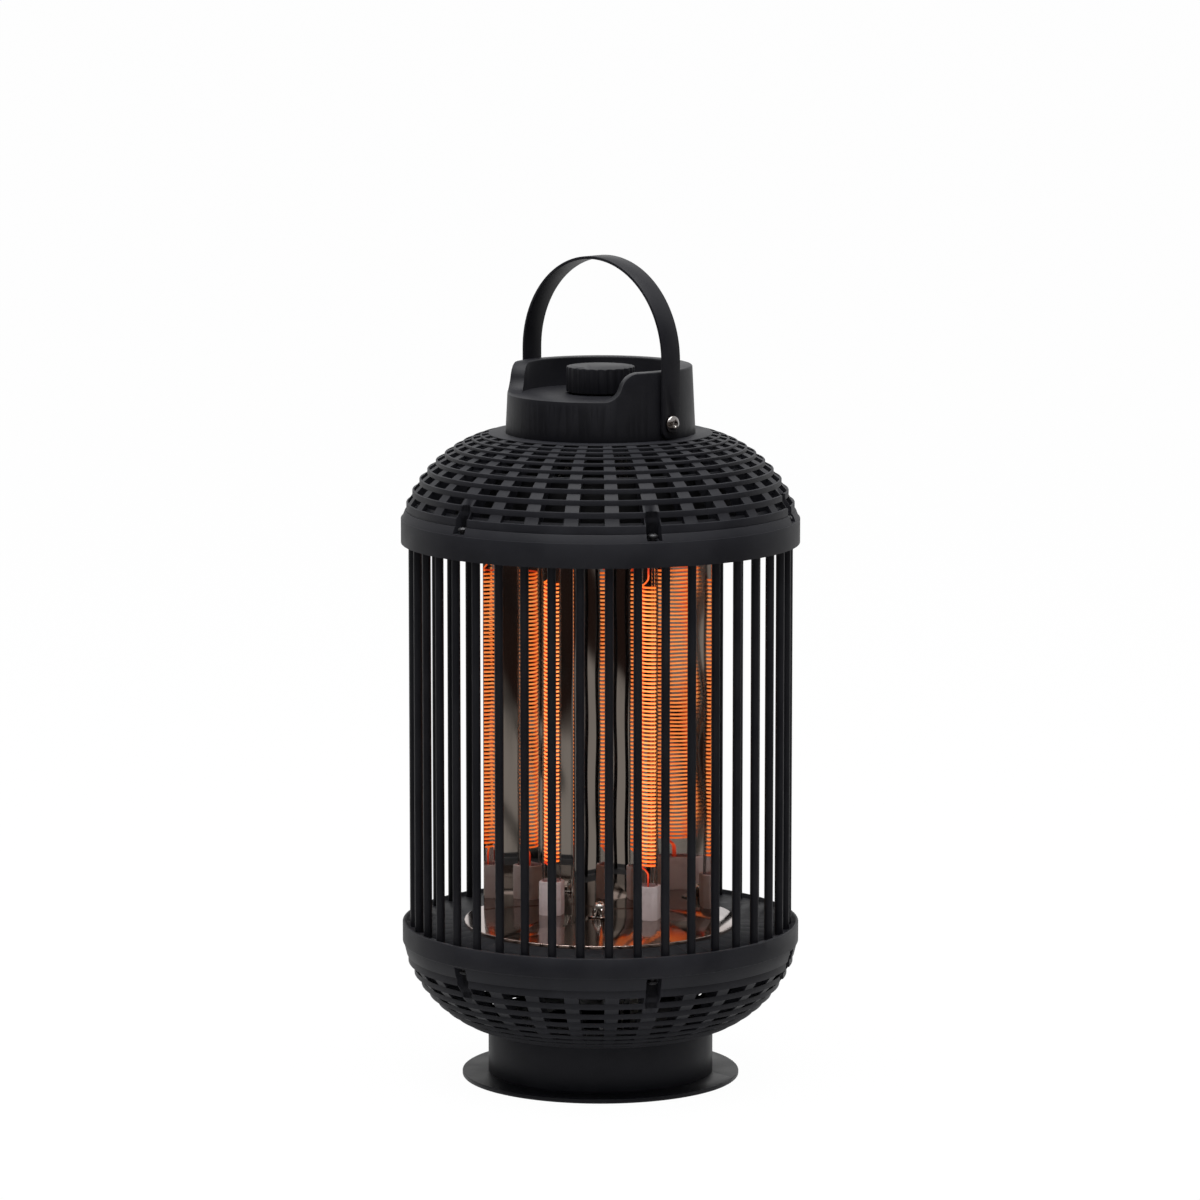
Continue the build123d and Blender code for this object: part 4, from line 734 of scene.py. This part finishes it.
class Outfit:
    """Knows the frame, gives each piece its finish and body, and keeps the finishes."""

    def __init__(self, frame: Mapping[str, Any], wardrobe: "Wardrobe") -> None:
        """Read the frame's bodies and slots.

        Args:
            wardrobe: The finishes.
        """
        record = frame["record"]
        self.nodes = frame["nodes"]
        self.wardrobe = wardrobe
        self.slots = {part["node"]: Slot(part["material_slot"]) for part in record["subparts"]}
        self.bodies = {node: body for body, nodes in record["behaviour"]["bodies"].items() for node in nodes}

    def material(self, node: str) -> bpy.types.Material:
        """Return the material of a node's slot."""
        return self.wardrobe.finish(self.slots[node])

    def place(self, piece: bpy.types.Object, *nodes: str) -> bpy.types.Object:
        """Put a finished piece in the place of CAD nodes.

        Args:
            piece: The piece, with its place in its mesh.
            nodes: The nodes that it stands for. They share a body and a slot.

        Returns:
            The piece.
        """
        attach(piece, self.bodies[nodes[0]])
        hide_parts(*nodes)
        log.info("made %s for %s, %d faces", piece.name, ", ".join(nodes), len(piece.data.polygons))
        return piece

    def mesh_piece(
        self, name: str, vertices: Iterable[Sequence[float]], faces: Iterable[Sequence[int]], *nodes: str,
        crease: float = 35.0,
    ) -> bpy.types.Object:
        """Make a piece from points in millimetres and faces.

        Args:
            name: The piece's name.
            vertices: Its points in the row frame.
            faces: Its faces, as indices.
            nodes: The nodes that it stands for.
            crease: Edges sharper than this angle stay sharp.

        Returns:
            The piece.
        """
        mesh = bpy.data.meshes.new(name)
        mesh.from_pydata([tuple(MM * c for c in v) for v in vertices], [], list(faces))
        sheet = bmesh.new()
        sheet.from_mesh(mesh)
        bmesh.ops.remove_doubles(sheet, verts=sheet.verts, dist=0.001 * MM)
        bmesh.ops.recalc_face_normals(sheet, faces=sheet.faces)
        sheet.to_mesh(mesh)
        sheet.free()
        mesh.shade_smooth()
        mesh.set_sharp_from_angle(angle=math.radians(crease))
        mesh.materials.append(self.material(nodes[0]))
        piece = bpy.data.objects.new(name, mesh)
        bpy.context.scene.collection.objects.link(piece)
        return self.place(piece, *nodes)

    def refined(
        self, node: str, edge: float = 0.0, crease: float = 35.0, turned_walls: bool = False
    ) -> bpy.types.Object:
        """Make a smooth copy of a node, with its sharp edges softened.

        Args:
            node: The node.
            edge: The width of the softened edges in millimetres, or 0 to leave them.
            crease: Edges sharper than this angle count as sharp.
            turned_walls: Whether its upright walls run round the axis.

        Returns:
            The piece.
        """
        name = f"{node}_finished"
        shell = bmesh.new()
        shell.from_mesh(self.nodes[node].data)
        bmesh.ops.remove_doubles(shell, verts=shell.verts, dist=0.002 * MM)
        mesh = bpy.data.meshes.new(name)
        if edge:
            bmesh.ops.dissolve_limit(
                shell, angle_limit=math.radians(0.6), verts=shell.verts, edges=shell.edges,
                use_dissolve_boundaries=False,
            )
        shell.to_mesh(mesh)
        shell.free()
        mesh.materials.clear()
        mesh.materials.append(self.material(node))
        piece = bpy.data.objects.new(name, mesh)
        bpy.context.scene.collection.objects.link(piece)
        if edge:
            rounding = piece.modifiers.new("rounding", "BEVEL")
            rounding.width = edge * MM
            rounding.segments = 2
            rounding.limit_method = "ANGLE"
            rounding.angle_limit = math.radians(crease)
            bpy.context.view_layer.update()
            graph = bpy.context.evaluated_depsgraph_get()
            piece.data = bpy.data.meshes.new_from_object(piece.evaluated_get(graph))
            piece.modifiers.clear()
        for polygon in piece.data.polygons:
            polygon.material_index = 0
        piece.data.shade_smooth()
        piece.data.set_sharp_from_angle(angle=math.radians(crease))
        if turned_walls:
            self.straighten_walls(piece.data)
        return self.place(piece, node)

    @staticmethod
    def straighten_walls(mesh: bpy.types.Mesh, upright: float = 0.95, near: float = 0.97) -> None:
        """Turn the normals of walls round the axis straight away from it, which long facets bend.

        Args:
            mesh: The mesh, with its place in the row frame.
            upright: A normal with a horizontal share over this belongs to a wall.
            near: A normal within this cosine of the radius belongs to a wall round the axis.
        """
        normals = [corner.vector.copy() for corner in mesh.corner_normals]
        for loop in mesh.loops:
            normal, spot = normals[loop.index], mesh.vertices[loop.vertex_index].co
            radial, level = Vector((spot.x, spot.y, 0.0)).normalized(), Vector((normal.x, normal.y, 0.0))
            share = level.dot(radial)
            if level.length > upright and abs(share) > near * level.length:
                normals[loop.index] = radial * math.copysign(level.length, share) + Vector((0.0, 0.0, normal.z))
        mesh.normals_split_custom_set(normals)


def turned(
    profile: Profile, centre: tuple[float, float], segments: int = 96,
    outline: Callable[[float], float] | None = None,
) -> tuple[list[tuple[float, float, float]], list[tuple[int, ...]]]:
    """Turn a profile about an upright axis.

    Args:
        profile: Radius and level of each ring, in millimetres.
        centre: Where the axis stands.
        segments: How many steps go round.
        outline: Gives the greatest radius at an angle in radians, as on a hexagon.

    Returns:
        The points and the faces. Both ends are closed.
    """
    points, faces = [], []
    for radius, level in profile:
        for k in range(segments):
            angle = 2 * math.pi * k / segments
            reach = min(radius, outline(angle)) if outline else radius
            points.append((centre[0] + reach * math.cos(angle), centre[1] + reach * math.sin(angle), level))
    for ring in range(len(profile) - 1):
        for k in range(segments):
            here, beside = ring * segments + k, ring * segments + (k + 1) % segments
            faces.append((here, beside, beside + segments, here + segments))
    faces.append(tuple(range(segments)))
    faces.append(tuple(range(len(points) - segments, len(points))))
    return points, faces


def tube_rings(
    profile: Profile, centre: tuple[float, float], segments: int = 64
) -> tuple[list[tuple[float, float, float]], list[tuple[int, ...]]]:
    """Turn a closed profile about an upright axis, with its last ring joined to its first.

    Args:
        profile: Radius and level of each ring, in millimetres.
        centre: Where the axis stands.
        segments: How many steps go round.

    Returns:
        The points and the faces.
    """
    points, faces = turned(profile, centre, segments)
    faces = faces[:-2]
    last = (len(profile) - 1) * segments
    for k in range(segments):
        faces.append((last + k, last + (k + 1) % segments, (k + 1) % segments, k))
    return points, faces


@dataclass
class Shell:
    """A perforated shell of stepped hoops: a sixth with a screw recess is drawn, and Geometry Nodes repeat it."""

    outfit: Outfit
    node: str
    rows: int
    drop: float
    shoulder_height: float
    hole_radius: float
    base: float
    way: int
    arc_radius: float = 82.3
    arc_centre: float = 60.1
    first_angle: float = 22.6
    first_step: float = 6.75
    last_step: float = 4.15
    step_rows: int = 9
    ring_radius: float = 140.0
    shoulder_inset: float = 0.7
    shoulder_taper: float = 2.3
    wall: float = 1.3
    lip: float = 0.9
    round_edge: float = 0.35
    tread_share: float = 0.54
    depth: float = 4.5
    plate: float = 2.4
    slots: int = 30
    slot_angle: float = 7.7
    sink: float = 0.15
    hidden: float = 0.06
    # How far each rib reaches in past the hoop wall: a dark fin that hides the far slots and stands in for the shade
    # inside the shell.
    shade_fin: float = 8.0
    screws: int = 6
    screw_circle: float = 134.0
    recess_radius: float = 5.2
    recess_floor: float = 0.8
    recess_rib: float = 2.5
    coarse: float = 1.2
    fine: float = 0.25
    lip_fall: float = 0.2
    foot_width: float = 3.2
    back_reach: float = 0.25
    least_back: float = 0.3
    weld: float = 0.002
    crease: float = 28.0

    def edges(self) -> list[tuple[float, float]]:
        """Return each hoop's radius and its distance from the ring."""
        change = (self.last_step - self.first_step) / self.step_rows
        angles = [self.first_angle + k * self.first_step + change * k * (k - 1) / 2 for k in range(self.rows + 1)]
        return [(self.arc_centre + self.arc_radius * math.cos(math.radians(a)),
                 self.arc_radius * math.sin(math.radians(a)) - self.drop) for a in angles]

    def inner(self, radius: float) -> float:
        """Return the inside's distance from the ring at a radius."""
        reach = self.arc_radius - self.depth
        return math.sqrt(max(reach ** 2 - (radius - self.arc_centre) ** 2, 0.0)) - self.drop

    def hoops(self) -> list[list[tuple[float, float]]]:
        """Return the closed sections that run all the way round."""
        edges = self.edges()
        e, wall, lip = self.round_edge, self.wall, self.lip
        first, top = edges[0]
        base = self.ring_radius - self.shoulder_inset
        tall, upper = self.shoulder_height, base - self.shoulder_taper
        sections = [[
            (base, 0.0), *[(base - self.shoulder_taper * z / tall, z)
                           for z in (self.recess_floor, self.recess_floor + 0.05)],
            (upper + 0.2, tall - 0.5), (upper - 0.1, tall - 0.1), (upper - 0.5, tall),
            (first, tall), (first, top - e), (first - e * 0.3, top - e * 0.3), (first - e, top),
            (first - lip, top), (first - wall, top + self.lip_fall), (first - wall, self.inner(first - wall)),
            (base - self.foot_width, 0.0),
        ]]
        for (_, start), (radius, end) in zip(edges, edges[1:]):
            low = start + self.tread_share * (end - start)
            last = (radius, end) == edges[-1]
            if last:
                sections.append([
                    (radius, low), (radius, end - e), (radius - e * 0.3, end - e * 0.3), (radius - e, end),
                    (self.hole_radius, end), (self.hole_radius, end - self.plate), (radius - wall, end - self.plate),
                    (radius - wall, low),
                ])
            else:
                sections.append([
                    (radius, low), (radius, end - e), (radius - e * 0.3, end - e * 0.3), (radius - e, end),
                    (radius - lip, end), (radius - wall, end + self.lip_fall), (radius - wall, low),
                ])
            behind, reach = start - self.sink, radius + self.back_reach
            if behind > self.inner(radius) + self.least_back:
                sections.append([
                    (reach, behind), (radius - wall, behind),
                    (radius - wall, self.inner(radius - wall)), (reach, self.inner(reach)),
                ])
        return sections

    def rib(self) -> list[tuple[float, float]]:
        """Return the stepped section between two columns of slots. It reaches in past the wall as a fin that blocks
        the view through the far slots, in place of the shade inside the shell.
        """
        edges = self.edges()
        h = self.hidden
        outline = []
        for (radius, level), (following, end) in zip(edges, edges[1:]):
            outline += [(radius - self.lip, level - h), (following - h, level + self.tread_share * (end - level))]
        stop, flat = edges[-1]
        outline += [(stop - self.lip, flat - h), (stop - self.lip - 1.0, flat - h)]
        # The fin past the wall hides the far slots: a dark piece standing in for the shade inside the shell.
        inside = [(radius - self.wall - self.shade_fin, self.inner(radius - self.wall)) for radius, _ in edges[:-1]]
        inside = [(r, min(z, flat - self.plate)) for r, z in inside] + [(stop - self.lip - 1.0, flat - self.plate)]
        return outline + inside[::-1]

    def station_angles(self, low: float, high: float) -> list[float]:
        """Return the angles of the stations from one angle to another, closer together at the recess."""
        near = math.degrees(math.asin(self.recess_radius / self.screw_circle))
        angles, angle = [low], low
        while angle < high - 1e-6:
            step = self.fine if abs(angle + self.fine / 2) < near + self.fine else self.coarse
            if angle < -near - self.fine:
                step = min(step, -near - self.fine - angle) if -near - self.fine - angle > 1e-6 else self.fine
            angle = min(angle + step, high)
            angles.append(angle)
        return angles

    def recessed(self, radius: float, level: float, angle: float) -> float:
        """Return a point's radius, pushed back to the wall of the screw recess where it lies inside."""
        turn = math.radians(angle)
        across = self.screw_circle * math.sin(turn)
        if level <= self.recess_floor or abs(across) >= self.recess_radius:
            return radius
        back = self.screw_circle * math.cos(turn) - math.sqrt(self.recess_radius ** 2 - across ** 2)
        return min(radius, back)

    def sixth(self) -> tuple[list[tuple[float, float, float]], list[tuple[int, ...]]]:
        """Return the points and faces of a sixth of the shell, with a screw recess in its middle."""
        pitch = 360.0 / self.slots
        half_rib = (pitch - self.slot_angle) / 2
        span = 180.0 / self.screws
        runs = [(section, self.station_angles(-span, span), False) for section in self.hoops()]
        for rib in range(-2, 3):
            half = half_rib if rib else self.recess_rib
            runs.append((self.rib(), self.station_angles(rib * pitch - half, rib * pitch + half), True))
        points, faces = [], []
        for section, stations, closed in runs:
            first, count = len(points), len(section)
            for angle in stations:
                c, s = math.cos(math.radians(angle)), math.sin(math.radians(angle))
                for radius, level in section:
                    r = self.recessed(radius, level, angle)
                    points.append((r * c, r * s, self.base + self.way * level))
            for k in range(len(stations) - 1):
                for step in range(count):
                    a, b = first + k * count + step, first + k * count + (step + 1) % count
                    faces.append((a, b, b + count, a + count))
            if closed:
                faces.append(tuple(range(first, first + count)))
                faces.append(tuple(range(first + (len(stations) - 1) * count, first + len(stations) * count)))
        return points, faces

    def build(self) -> None:
        """Repeat the sixth round the shell and put it in its node's place."""
        points, faces = self.sixth()
        mesh = bpy.data.meshes.new(f"{self.node}_sixth")
        mesh.from_pydata([tuple(MM * c for c in p) for p in points], [], faces)
        mesh.materials.append(self.outfit.material(self.node))
        part = bmesh.new()
        part.from_mesh(mesh)
        bmesh.ops.recalc_face_normals(part, faces=part.faces)
        part.to_mesh(mesh)
        part.free()
        grown = Growth(f"{self.node}_shell")
        grown.tree.interface.new_socket("Sixth", in_out="INPUT", socket_type="NodeSocketGeometry")
        count = grown.size("Repeats", self.screws)
        turn = grown.size("Turn", math.radians(-90.0))
        weld = grown.size("Weld Distance", self.weld * MM)
        spots = grown.node("GeometryNodeMeshCircle", None, {"Vertices": count, "Radius": 0.0})
        step = grown.node("ShaderNodeMath", {"operation": "DIVIDE"}, {0: 2 * math.pi, 1: count}).signal()
        angle = grown.node("GeometryNodeInputIndex").signal() * step + turn
        ring = grown.node("GeometryNodeInstanceOnPoints", None, {
            "Points": spots.out(), "Instance": grown.entry.outputs["Sixth"], "Rotation": grown.point(0.0, 0.0, angle),
        })
        solid = grown.node("GeometryNodeRealizeInstances", None, {"Geometry": ring.out()})
        joined = grown.node("GeometryNodeMergeByDistance", None, {"Geometry": solid.out(), "Distance": weld})
        piece = grown.bake(joined.out(), self.outfit.material(self.node), mesh)
        piece.data.shade_smooth()
        piece.data.set_sharp_from_angle(angle=math.radians(self.crease))
        self.outfit.place(piece, self.node)


@dataclass
class Cage:
    """The round rods between the two rings, with their spigots."""

    outfit: Outfit
    rods: int = 42
    circle: float = 132.0
    thickness: float = 6.0
    spigot: float = 3.6
    ring_web: float = 3.0
    sides: int = 24
    crease: float = 40.0

    def build(self) -> None:
        """Grow the rods round the cage's circle."""
        low, high = (corner.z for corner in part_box("cage_rods"))
        grown = Growth("round_rods")
        count = grown.size("Rods", self.rods)
        circle = grown.size("Circle Radius", self.circle * MM)
        thick = grown.size("Rod Radius", self.thickness / 2 * MM)
        thin = grown.size("Spigot Radius", self.spigot / 2 * MM)
        bottom = grown.size("Bottom", low)
        top = grown.size("Top", high)
        web = grown.size("Web", self.ring_web * MM)
        turn = grown.size("Turn", math.pi / self.rods - math.pi / 2)
        places = grown.node("GeometryNodeMeshCircle", None, {"Vertices": count, "Radius": circle})
        turned_places = grown.node(
            "GeometryNodeTransform", None, {"Geometry": places.out(), "Rotation": grown.point(0.0, 0.0, turn)}
        )
        bars = []
        for radius, start, end in ((thick, bottom + web, top - web), (thin, bottom, top)):
            line = grown.node("GeometryNodeCurvePrimitiveLine", None, {
                "Start": grown.point(0.0, 0.0, start), "End": grown.point(0.0, 0.0, end),
            })
            bars.append(grown.bar(line.out(), radius, self.sides))
        rod = grown.node("GeometryNodeJoinGeometry", None, {0: bars})
        spread = {"Points": turned_places.out(), "Instance": rod.out()}
        ring = grown.node("GeometryNodeInstanceOnPoints", None, spread)
        piece = grown.bake(ring.out(), self.outfit.material("cage_rods"))
        piece.data.shade_smooth()
        piece.data.set_sharp_from_angle(angle=math.radians(self.crease))
        self.outfit.place(piece, "cage_rods")


@dataclass
class Chamber:
    """The heating chamber: elements, reflector, disc and the nut in its middle."""

    outfit: Outfit
    turn: float = 30.0
    middle: tuple[float, float] = (-2.6, 8.0)
    ridge_depth: float = 27.5
    trough: tuple[float, float] = (29.1, 38.0)
    wing: tuple[float, float] = (79.6, 9.3)
    lip: tuple[float, float] = (85.64, 2.1)
    wing_bow: float = 1.1
    ridge_bow: float = -0.5
    sheet: float = 0.8
    ripple: float = 0.05
    ripple_length: float = 82.0
    ripple_lean: float = 21.0
    ripple_width: float = 13.0
    ripple_shift: float = 0.6
    row_height: float = 4.0
    tab: tuple[float, float] = (8.0, 8.0)
    turns: int = 71
    coil_radius: float = 5.2
    wire_radius: float = 0.66
    wire_sides: int = 8
    cap_height: float = 24.2
    cap_socket: float = 7.0
    lower_gap: float = 12.7
    upper_gap: float = 15.7
    lead_rise: float = 6.0
    start_angle: float = 225.0
    nut_width: float = 10.0
    nut_height: float = 5.0
    dome_radius: float = 4.6
    washer_radius: float = 8.5
    washer_height: float = 1.2
    washer_hole: float = 3.1
    washer_round: float = 0.3

    def __post_init__(self) -> None:
        """Read the levels and the elements' places from the frame."""
        self.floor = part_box("base_disc")[1].z / MM
        self.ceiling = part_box("reflector")[1].z / MM
        self.elements = []
        for side in ("left", "right"):
            low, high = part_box(f"quartz_tube_{side}")
            self.elements.append(((low.x + high.x) / 2 / MM, (low.y + high.y) / 2 / MM))
        self.nut_place = tuple(sum(place[k] for place in self.elements) / 2 for k in (0, 1))

    def world_point(self, x: float, y: float) -> tuple[float, float]:
        """Turn a place in the chamber's own plan into the row frame."""
        c, s = math.cos(math.radians(self.turn)), math.sin(math.radians(self.turn))
        return x * c - y * s, x * s + y * c

    def plan(self) -> list[tuple[float, float]]:
        """Return the reflector's front line in the chamber's plan, bowed and with soft bends."""
        half = [(0.0, self.ridge_depth), self.trough, self.wing, self.lip]
        corners = [(-x, y) for x, y in reversed(half[1:])] + half
        bows = [0.0, self.wing_bow, self.ridge_bow, self.ridge_bow, self.wing_bow, 0.0]
        line = []
        for (x0, y0), (x1, y1), bow in zip(corners, corners[1:], bows):
            length = math.hypot(x1 - x0, y1 - y0)
            steps = max(6, round(length / 1.0))
            for k in range(steps):
                t = k / steps
                away = bow * 4 * t * (1 - t)
                line.append((x0 + (x1 - x0) * t - (y1 - y0) / length * away,
                             y0 + (y1 - y0) * t + (x1 - x0) / length * away))
        line.append(corners[-1])
        soft = [line[0]]
        for before, here, after in zip(line, line[1:], line[2:]):
            soft.append(tuple((before[k] + 2 * here[k] + after[k]) / 4 for k in (0, 1)))
        soft.append(line[-1])
        return [(self.middle[0] + x, self.middle[1] + y) for x, y in soft]

    def reflector(self) -> None:
        """Make the bent reflector sheet with its faint ripples and its four tabs."""
        line = self.plan()
        rows = round((self.ceiling - self.floor) / self.row_height)
        lefts = []
        for k in range(len(line)):
            (x0, y0), (x1, y1) = line[max(k - 1, 0)], line[min(k + 1, len(line) - 1)]
            length = math.hypot(x1 - x0, y1 - y0)
            lefts.append((-(y1 - y0) / length, (x1 - x0) / length))
        points, faces = [], []
        for row in range(rows + 1):
            level = self.floor + (self.ceiling - self.floor) * row / rows
            for (x, y), (nx, ny) in zip(line, lefts):
                upward = math.sin(level / self.ripple_length * 2 * math.pi + x / self.ripple_lean)
                push = self.ripple * upward * math.sin(x / self.ripple_width + self.ripple_shift)
                for back in (0.0, self.sheet):
                    points.append((*self.world_point(x + nx * (push + back), y + ny * (push + back)), level))
        wide = 2 * len(line)
        for row in range(rows):
            for k in range(len(line) - 1):
                for back in (0, 1):
                    a = row * wide + 2 * k + back
                    faces.append((a, a + 2, a + 2 + wide, a + wide))
            for end in (0, len(line) - 1):
                a = row * wide + 2 * end
                faces.append((a, a + 1, a + 1 + wide, a + wide))
        for row in (0, rows):
            for k in range(len(line) - 1):
                a = row * wide + 2 * k
                faces.append((a, a + 1, a + 3, a + 2))
        for side in (-1, 1):
            x = self.middle[0] + side * self.trough[0]
            y = self.middle[1] + self.trough[1] + self.sheet
            for level, rise in ((self.floor, self.sheet), (self.ceiling - self.sheet, self.sheet)):
                first = len(points)
                for z in (level, level + rise):
                    for dx, dy in ((-1, -0.4), (1, -0.4), (1, self.tab[1]), (-1, self.tab[1])):
                        points.append((*self.world_point(x + dx * self.tab[0] / 2, y + dy), z))
                faces += [tuple(first + c for c in corner) for corner in (
                    (0, 1, 2, 3), (4, 5, 6, 7), (0, 1, 5, 4), (1, 2, 6, 5), (2, 3, 7, 6), (3, 0, 4, 7),
                )]
        self.outfit.mesh_piece("bent_reflector", points, faces, "reflector", crease=50.0)

    def coils(self) -> None:
        """Grow both glowing coils with their leads."""
        grown = Growth("glowing_coils")
        turns = grown.size("Turns", float(self.turns))
        radius = grown.size("Coil Radius", self.coil_radius * MM)
        wire = grown.size("Wire Radius", self.wire_radius * MM)
        start = grown.size("Coil Bottom", (self.floor + self.cap_height + self.lower_gap) * MM)
        end = grown.size("Coil Top", (self.ceiling - self.cap_height - self.upper_gap) * MM)
        low = grown.size("Lead Bottom", (self.floor + self.cap_height - self.cap_socket) * MM)
        high = grown.size("Lead Top", (self.ceiling - self.cap_height + self.cap_socket) * MM)
        rise = grown.size("Lead Rise", self.lead_rise * MM)
        turn = grown.size("Start Angle", math.radians(self.start_angle))
        spiral = grown.node("GeometryNodeCurveSpiral", None, {
            "Resolution": 20, "Rotations": turns, "Start Radius": radius, "End Radius": radius, "Height": end - start,
        })
        raised = grown.node(
            "GeometryNodeTransform", None, {"Geometry": spiral.out(), "Translation": grown.point(0.0, 0.0, start)}
        )
        curves = [raised.out()]
        for level, way, tip in ((start, -1.0, low), (end, 1.0, high)):
            bend = grown.node("GeometryNodeCurvePrimitiveBezierSegment", {"mode": "POSITION"}, {
                "Resolution": 12, "Start": grown.point(radius, 0.0, level),
                "Start Handle": grown.point(radius, radius * (0.8 * way), level),
                "End Handle": grown.point(0.0, 0.0, level + rise * (0.4 * way)),
                "End": grown.point(0.0, 0.0, level + rise * way),
            })
            straight = grown.node("GeometryNodeCurvePrimitiveLine", None, {
                "Start": grown.point(0.0, 0.0, level + rise * way), "End": grown.point(0.0, 0.0, tip),
            })
            curves += [bend.out(), straight.out()]
        wires = grown.node("GeometryNodeJoinGeometry", None, {0: curves})
        swept = grown.bar(wires.out(), wire, self.wire_sides)
        # How far each point faces away from the coil's axis. The wire's material uses it to paint the side facing the
        # axis a dimmer, redder glow as shade.
        place = grown.node("GeometryNodeInputPosition").out()
        flat = grown.node("ShaderNodeVectorMath", {"operation": "MULTIPLY"}, {0: place, 1: (1.0, 1.0, 0.0)})
        outwards = grown.node("ShaderNodeVectorMath", {"operation": "NORMALIZE"}, {0: flat.out()})
        normal = grown.node("GeometryNodeInputNormal").out()
        facing = grown.node("ShaderNodeVectorMath", {"operation": "DOT_PRODUCT"}, {0: outwards.out(), 1: normal})
        marked = grown.node("GeometryNodeStoreNamedAttribute", {"data_type": "FLOAT", "domain": "POINT"}, {
            "Geometry": swept, "Name": "outer_side", "Value": facing.out("Value"),
        })
        twisted = grown.node(
            "GeometryNodeTransform", None, {"Geometry": marked.out(), "Rotation": grown.point(0.0, 0.0, turn)}
        )
        ends = []
        for side, (x, y) in zip(("Left", "Right"), self.elements):
            ends.append(grown.point(grown.size(f"{side} X", x * MM), grown.size(f"{side} Y", y * MM), 0.0))
        pair = grown.node("GeometryNodeCurvePrimitiveLine", None, {"Start": ends[0], "End": ends[1]})
        spots = grown.node("GeometryNodeCurveToPoints", {"mode": "EVALUATED"}, {"Curve": pair.out()})
        spread = {"Points": spots.out("Points"), "Instance": twisted.out()}
        both = grown.node("GeometryNodeInstanceOnPoints", None, spread)
        piece = grown.bake(both.out(), self.outfit.material("heater_coil_left"))
        piece.data.shade_smooth()
        self.outfit.place(piece, "heater_coil_left", "heater_coil_right")

    def tubes(self) -> None:
        """Make the two smooth quartz tubes."""
        points, faces = [], []
        for side, place in zip(("left", "right"), self.elements):
            low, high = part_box(f"quartz_tube_{side}")
            outer = (high.x - low.x) / 2 / MM
            bottom, top = low.z / MM, high.z / MM
            profile = [(outer, bottom), (outer, top), (outer - 0.7, top), (outer - 0.7, bottom)]
            more, sides = tube_rings(profile, place)
            faces += [tuple(index + len(points) for index in face) for face in sides]
            points += more
        self.outfit.mesh_piece("quartz_tubes", points, faces, "quartz_tube_left", "quartz_tube_right")

    def nut_and_washer(self) -> None:
        """Make the acorn nut and the washer under it."""
        seat, rim, soft = self.floor, self.washer_radius, self.washer_round
        base = seat + self.washer_height
        washer = [
            (rim - soft, seat), (rim, seat + soft), (rim, base - soft), (rim - soft, base),
            (self.washer_hole, base), (self.washer_hole, seat),
        ]
        self.outfit.mesh_piece("round_washer", *tube_rings(washer, self.nut_place, 96), "disc_washer")
        flat = self.nut_width / 2
        corner = flat / math.cos(math.pi / 6)

        def hexagon(angle: float) -> float:
            """Return the hexagon's radius at an angle."""
            around = (angle - math.radians(self.turn)) % (math.pi / 3) - math.pi / 6
            return flat / math.cos(around)

        dome = [
            (self.dome_radius * math.cos(t), base + self.nut_height + self.dome_radius * math.sin(t))
            for t in (math.pi / 2 * k / 14 for k in range(15))
        ]
        profile = [(corner - 0.5, base), (corner, base + 0.4), (corner, base + self.nut_height - 0.9),
                   (flat, base + self.nut_height), *dome[:-1]]
        points, faces = turned(profile, self.nut_place, 120, hexagon)
        self.outfit.mesh_piece("acorn_nut", points, faces, "disc_nut", crease=30.0)

    def build(self) -> None:
        """Make every piece of the chamber."""
        self.reflector()
        self.coils()
        self.tubes()
        self.nut_and_washer()


@dataclass
class Castings:
    """The moulded and sheet pieces that keep the solids' shapes, with smooth faces and softened edges."""

    outfit: Outfit
    soft_edges: Mapping[str, float] = field(default_factory=lambda: {
        "foot_plate": 0.0, "tray": 0.0, "upper_ring": 0.25, "pedestal": 0.5,
        "knob": 0.25, "control_housing": 0.25, "carrying_handle": 0.3, "handle_bolts": 0.0, "base_disc": 0.0,
        "lower_cap_left": 0.3, "lower_cap_right": 0.3, "upper_cap_left": 0.3, "upper_cap_right": 0.3,
    })
    round_walled: tuple[str, ...] = ("control_housing", "upper_ring", "pedestal")

    def build(self) -> None:
        """Make a finished copy of each."""
        for node, edge in self.soft_edges.items():
            self.outfit.refined(node, edge, turned_walls=node in self.round_walled)


def main() -> None:
    """Build the studio and dress every piece."""
    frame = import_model()
    Studio().build()
    low, high = (corner.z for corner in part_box("heater_coil_left"))
    outfit = Outfit(frame, Wardrobe(low + GLOW_INSET, high - GLOW_INSET))
    for name, node in frame["nodes"].items():
        node.data.materials.clear()
        node.data.materials.append(outfit.material(name))
        log.info("dressed %s as %s", name, outfit.slots[name].value)
    dome_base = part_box("upper_ring")[1].z / MM
    bowl_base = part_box("tray")[0].z / MM
    shells = (
        Shell(outfit, "upper_dome", 10, 20.2, 5.7, 50.0, dome_base, 1),
        Shell(outfit, "lower_bowl", 8, 17.2, 8.9, 40.0, bowl_base, -1),
    )
    for assembly in (*shells, Cage(outfit), Chamber(outfit), Castings(outfit)):
        assembly.build()


if __name__ == "__main__":
    logging.basicConfig(level=logging.INFO)
    main()
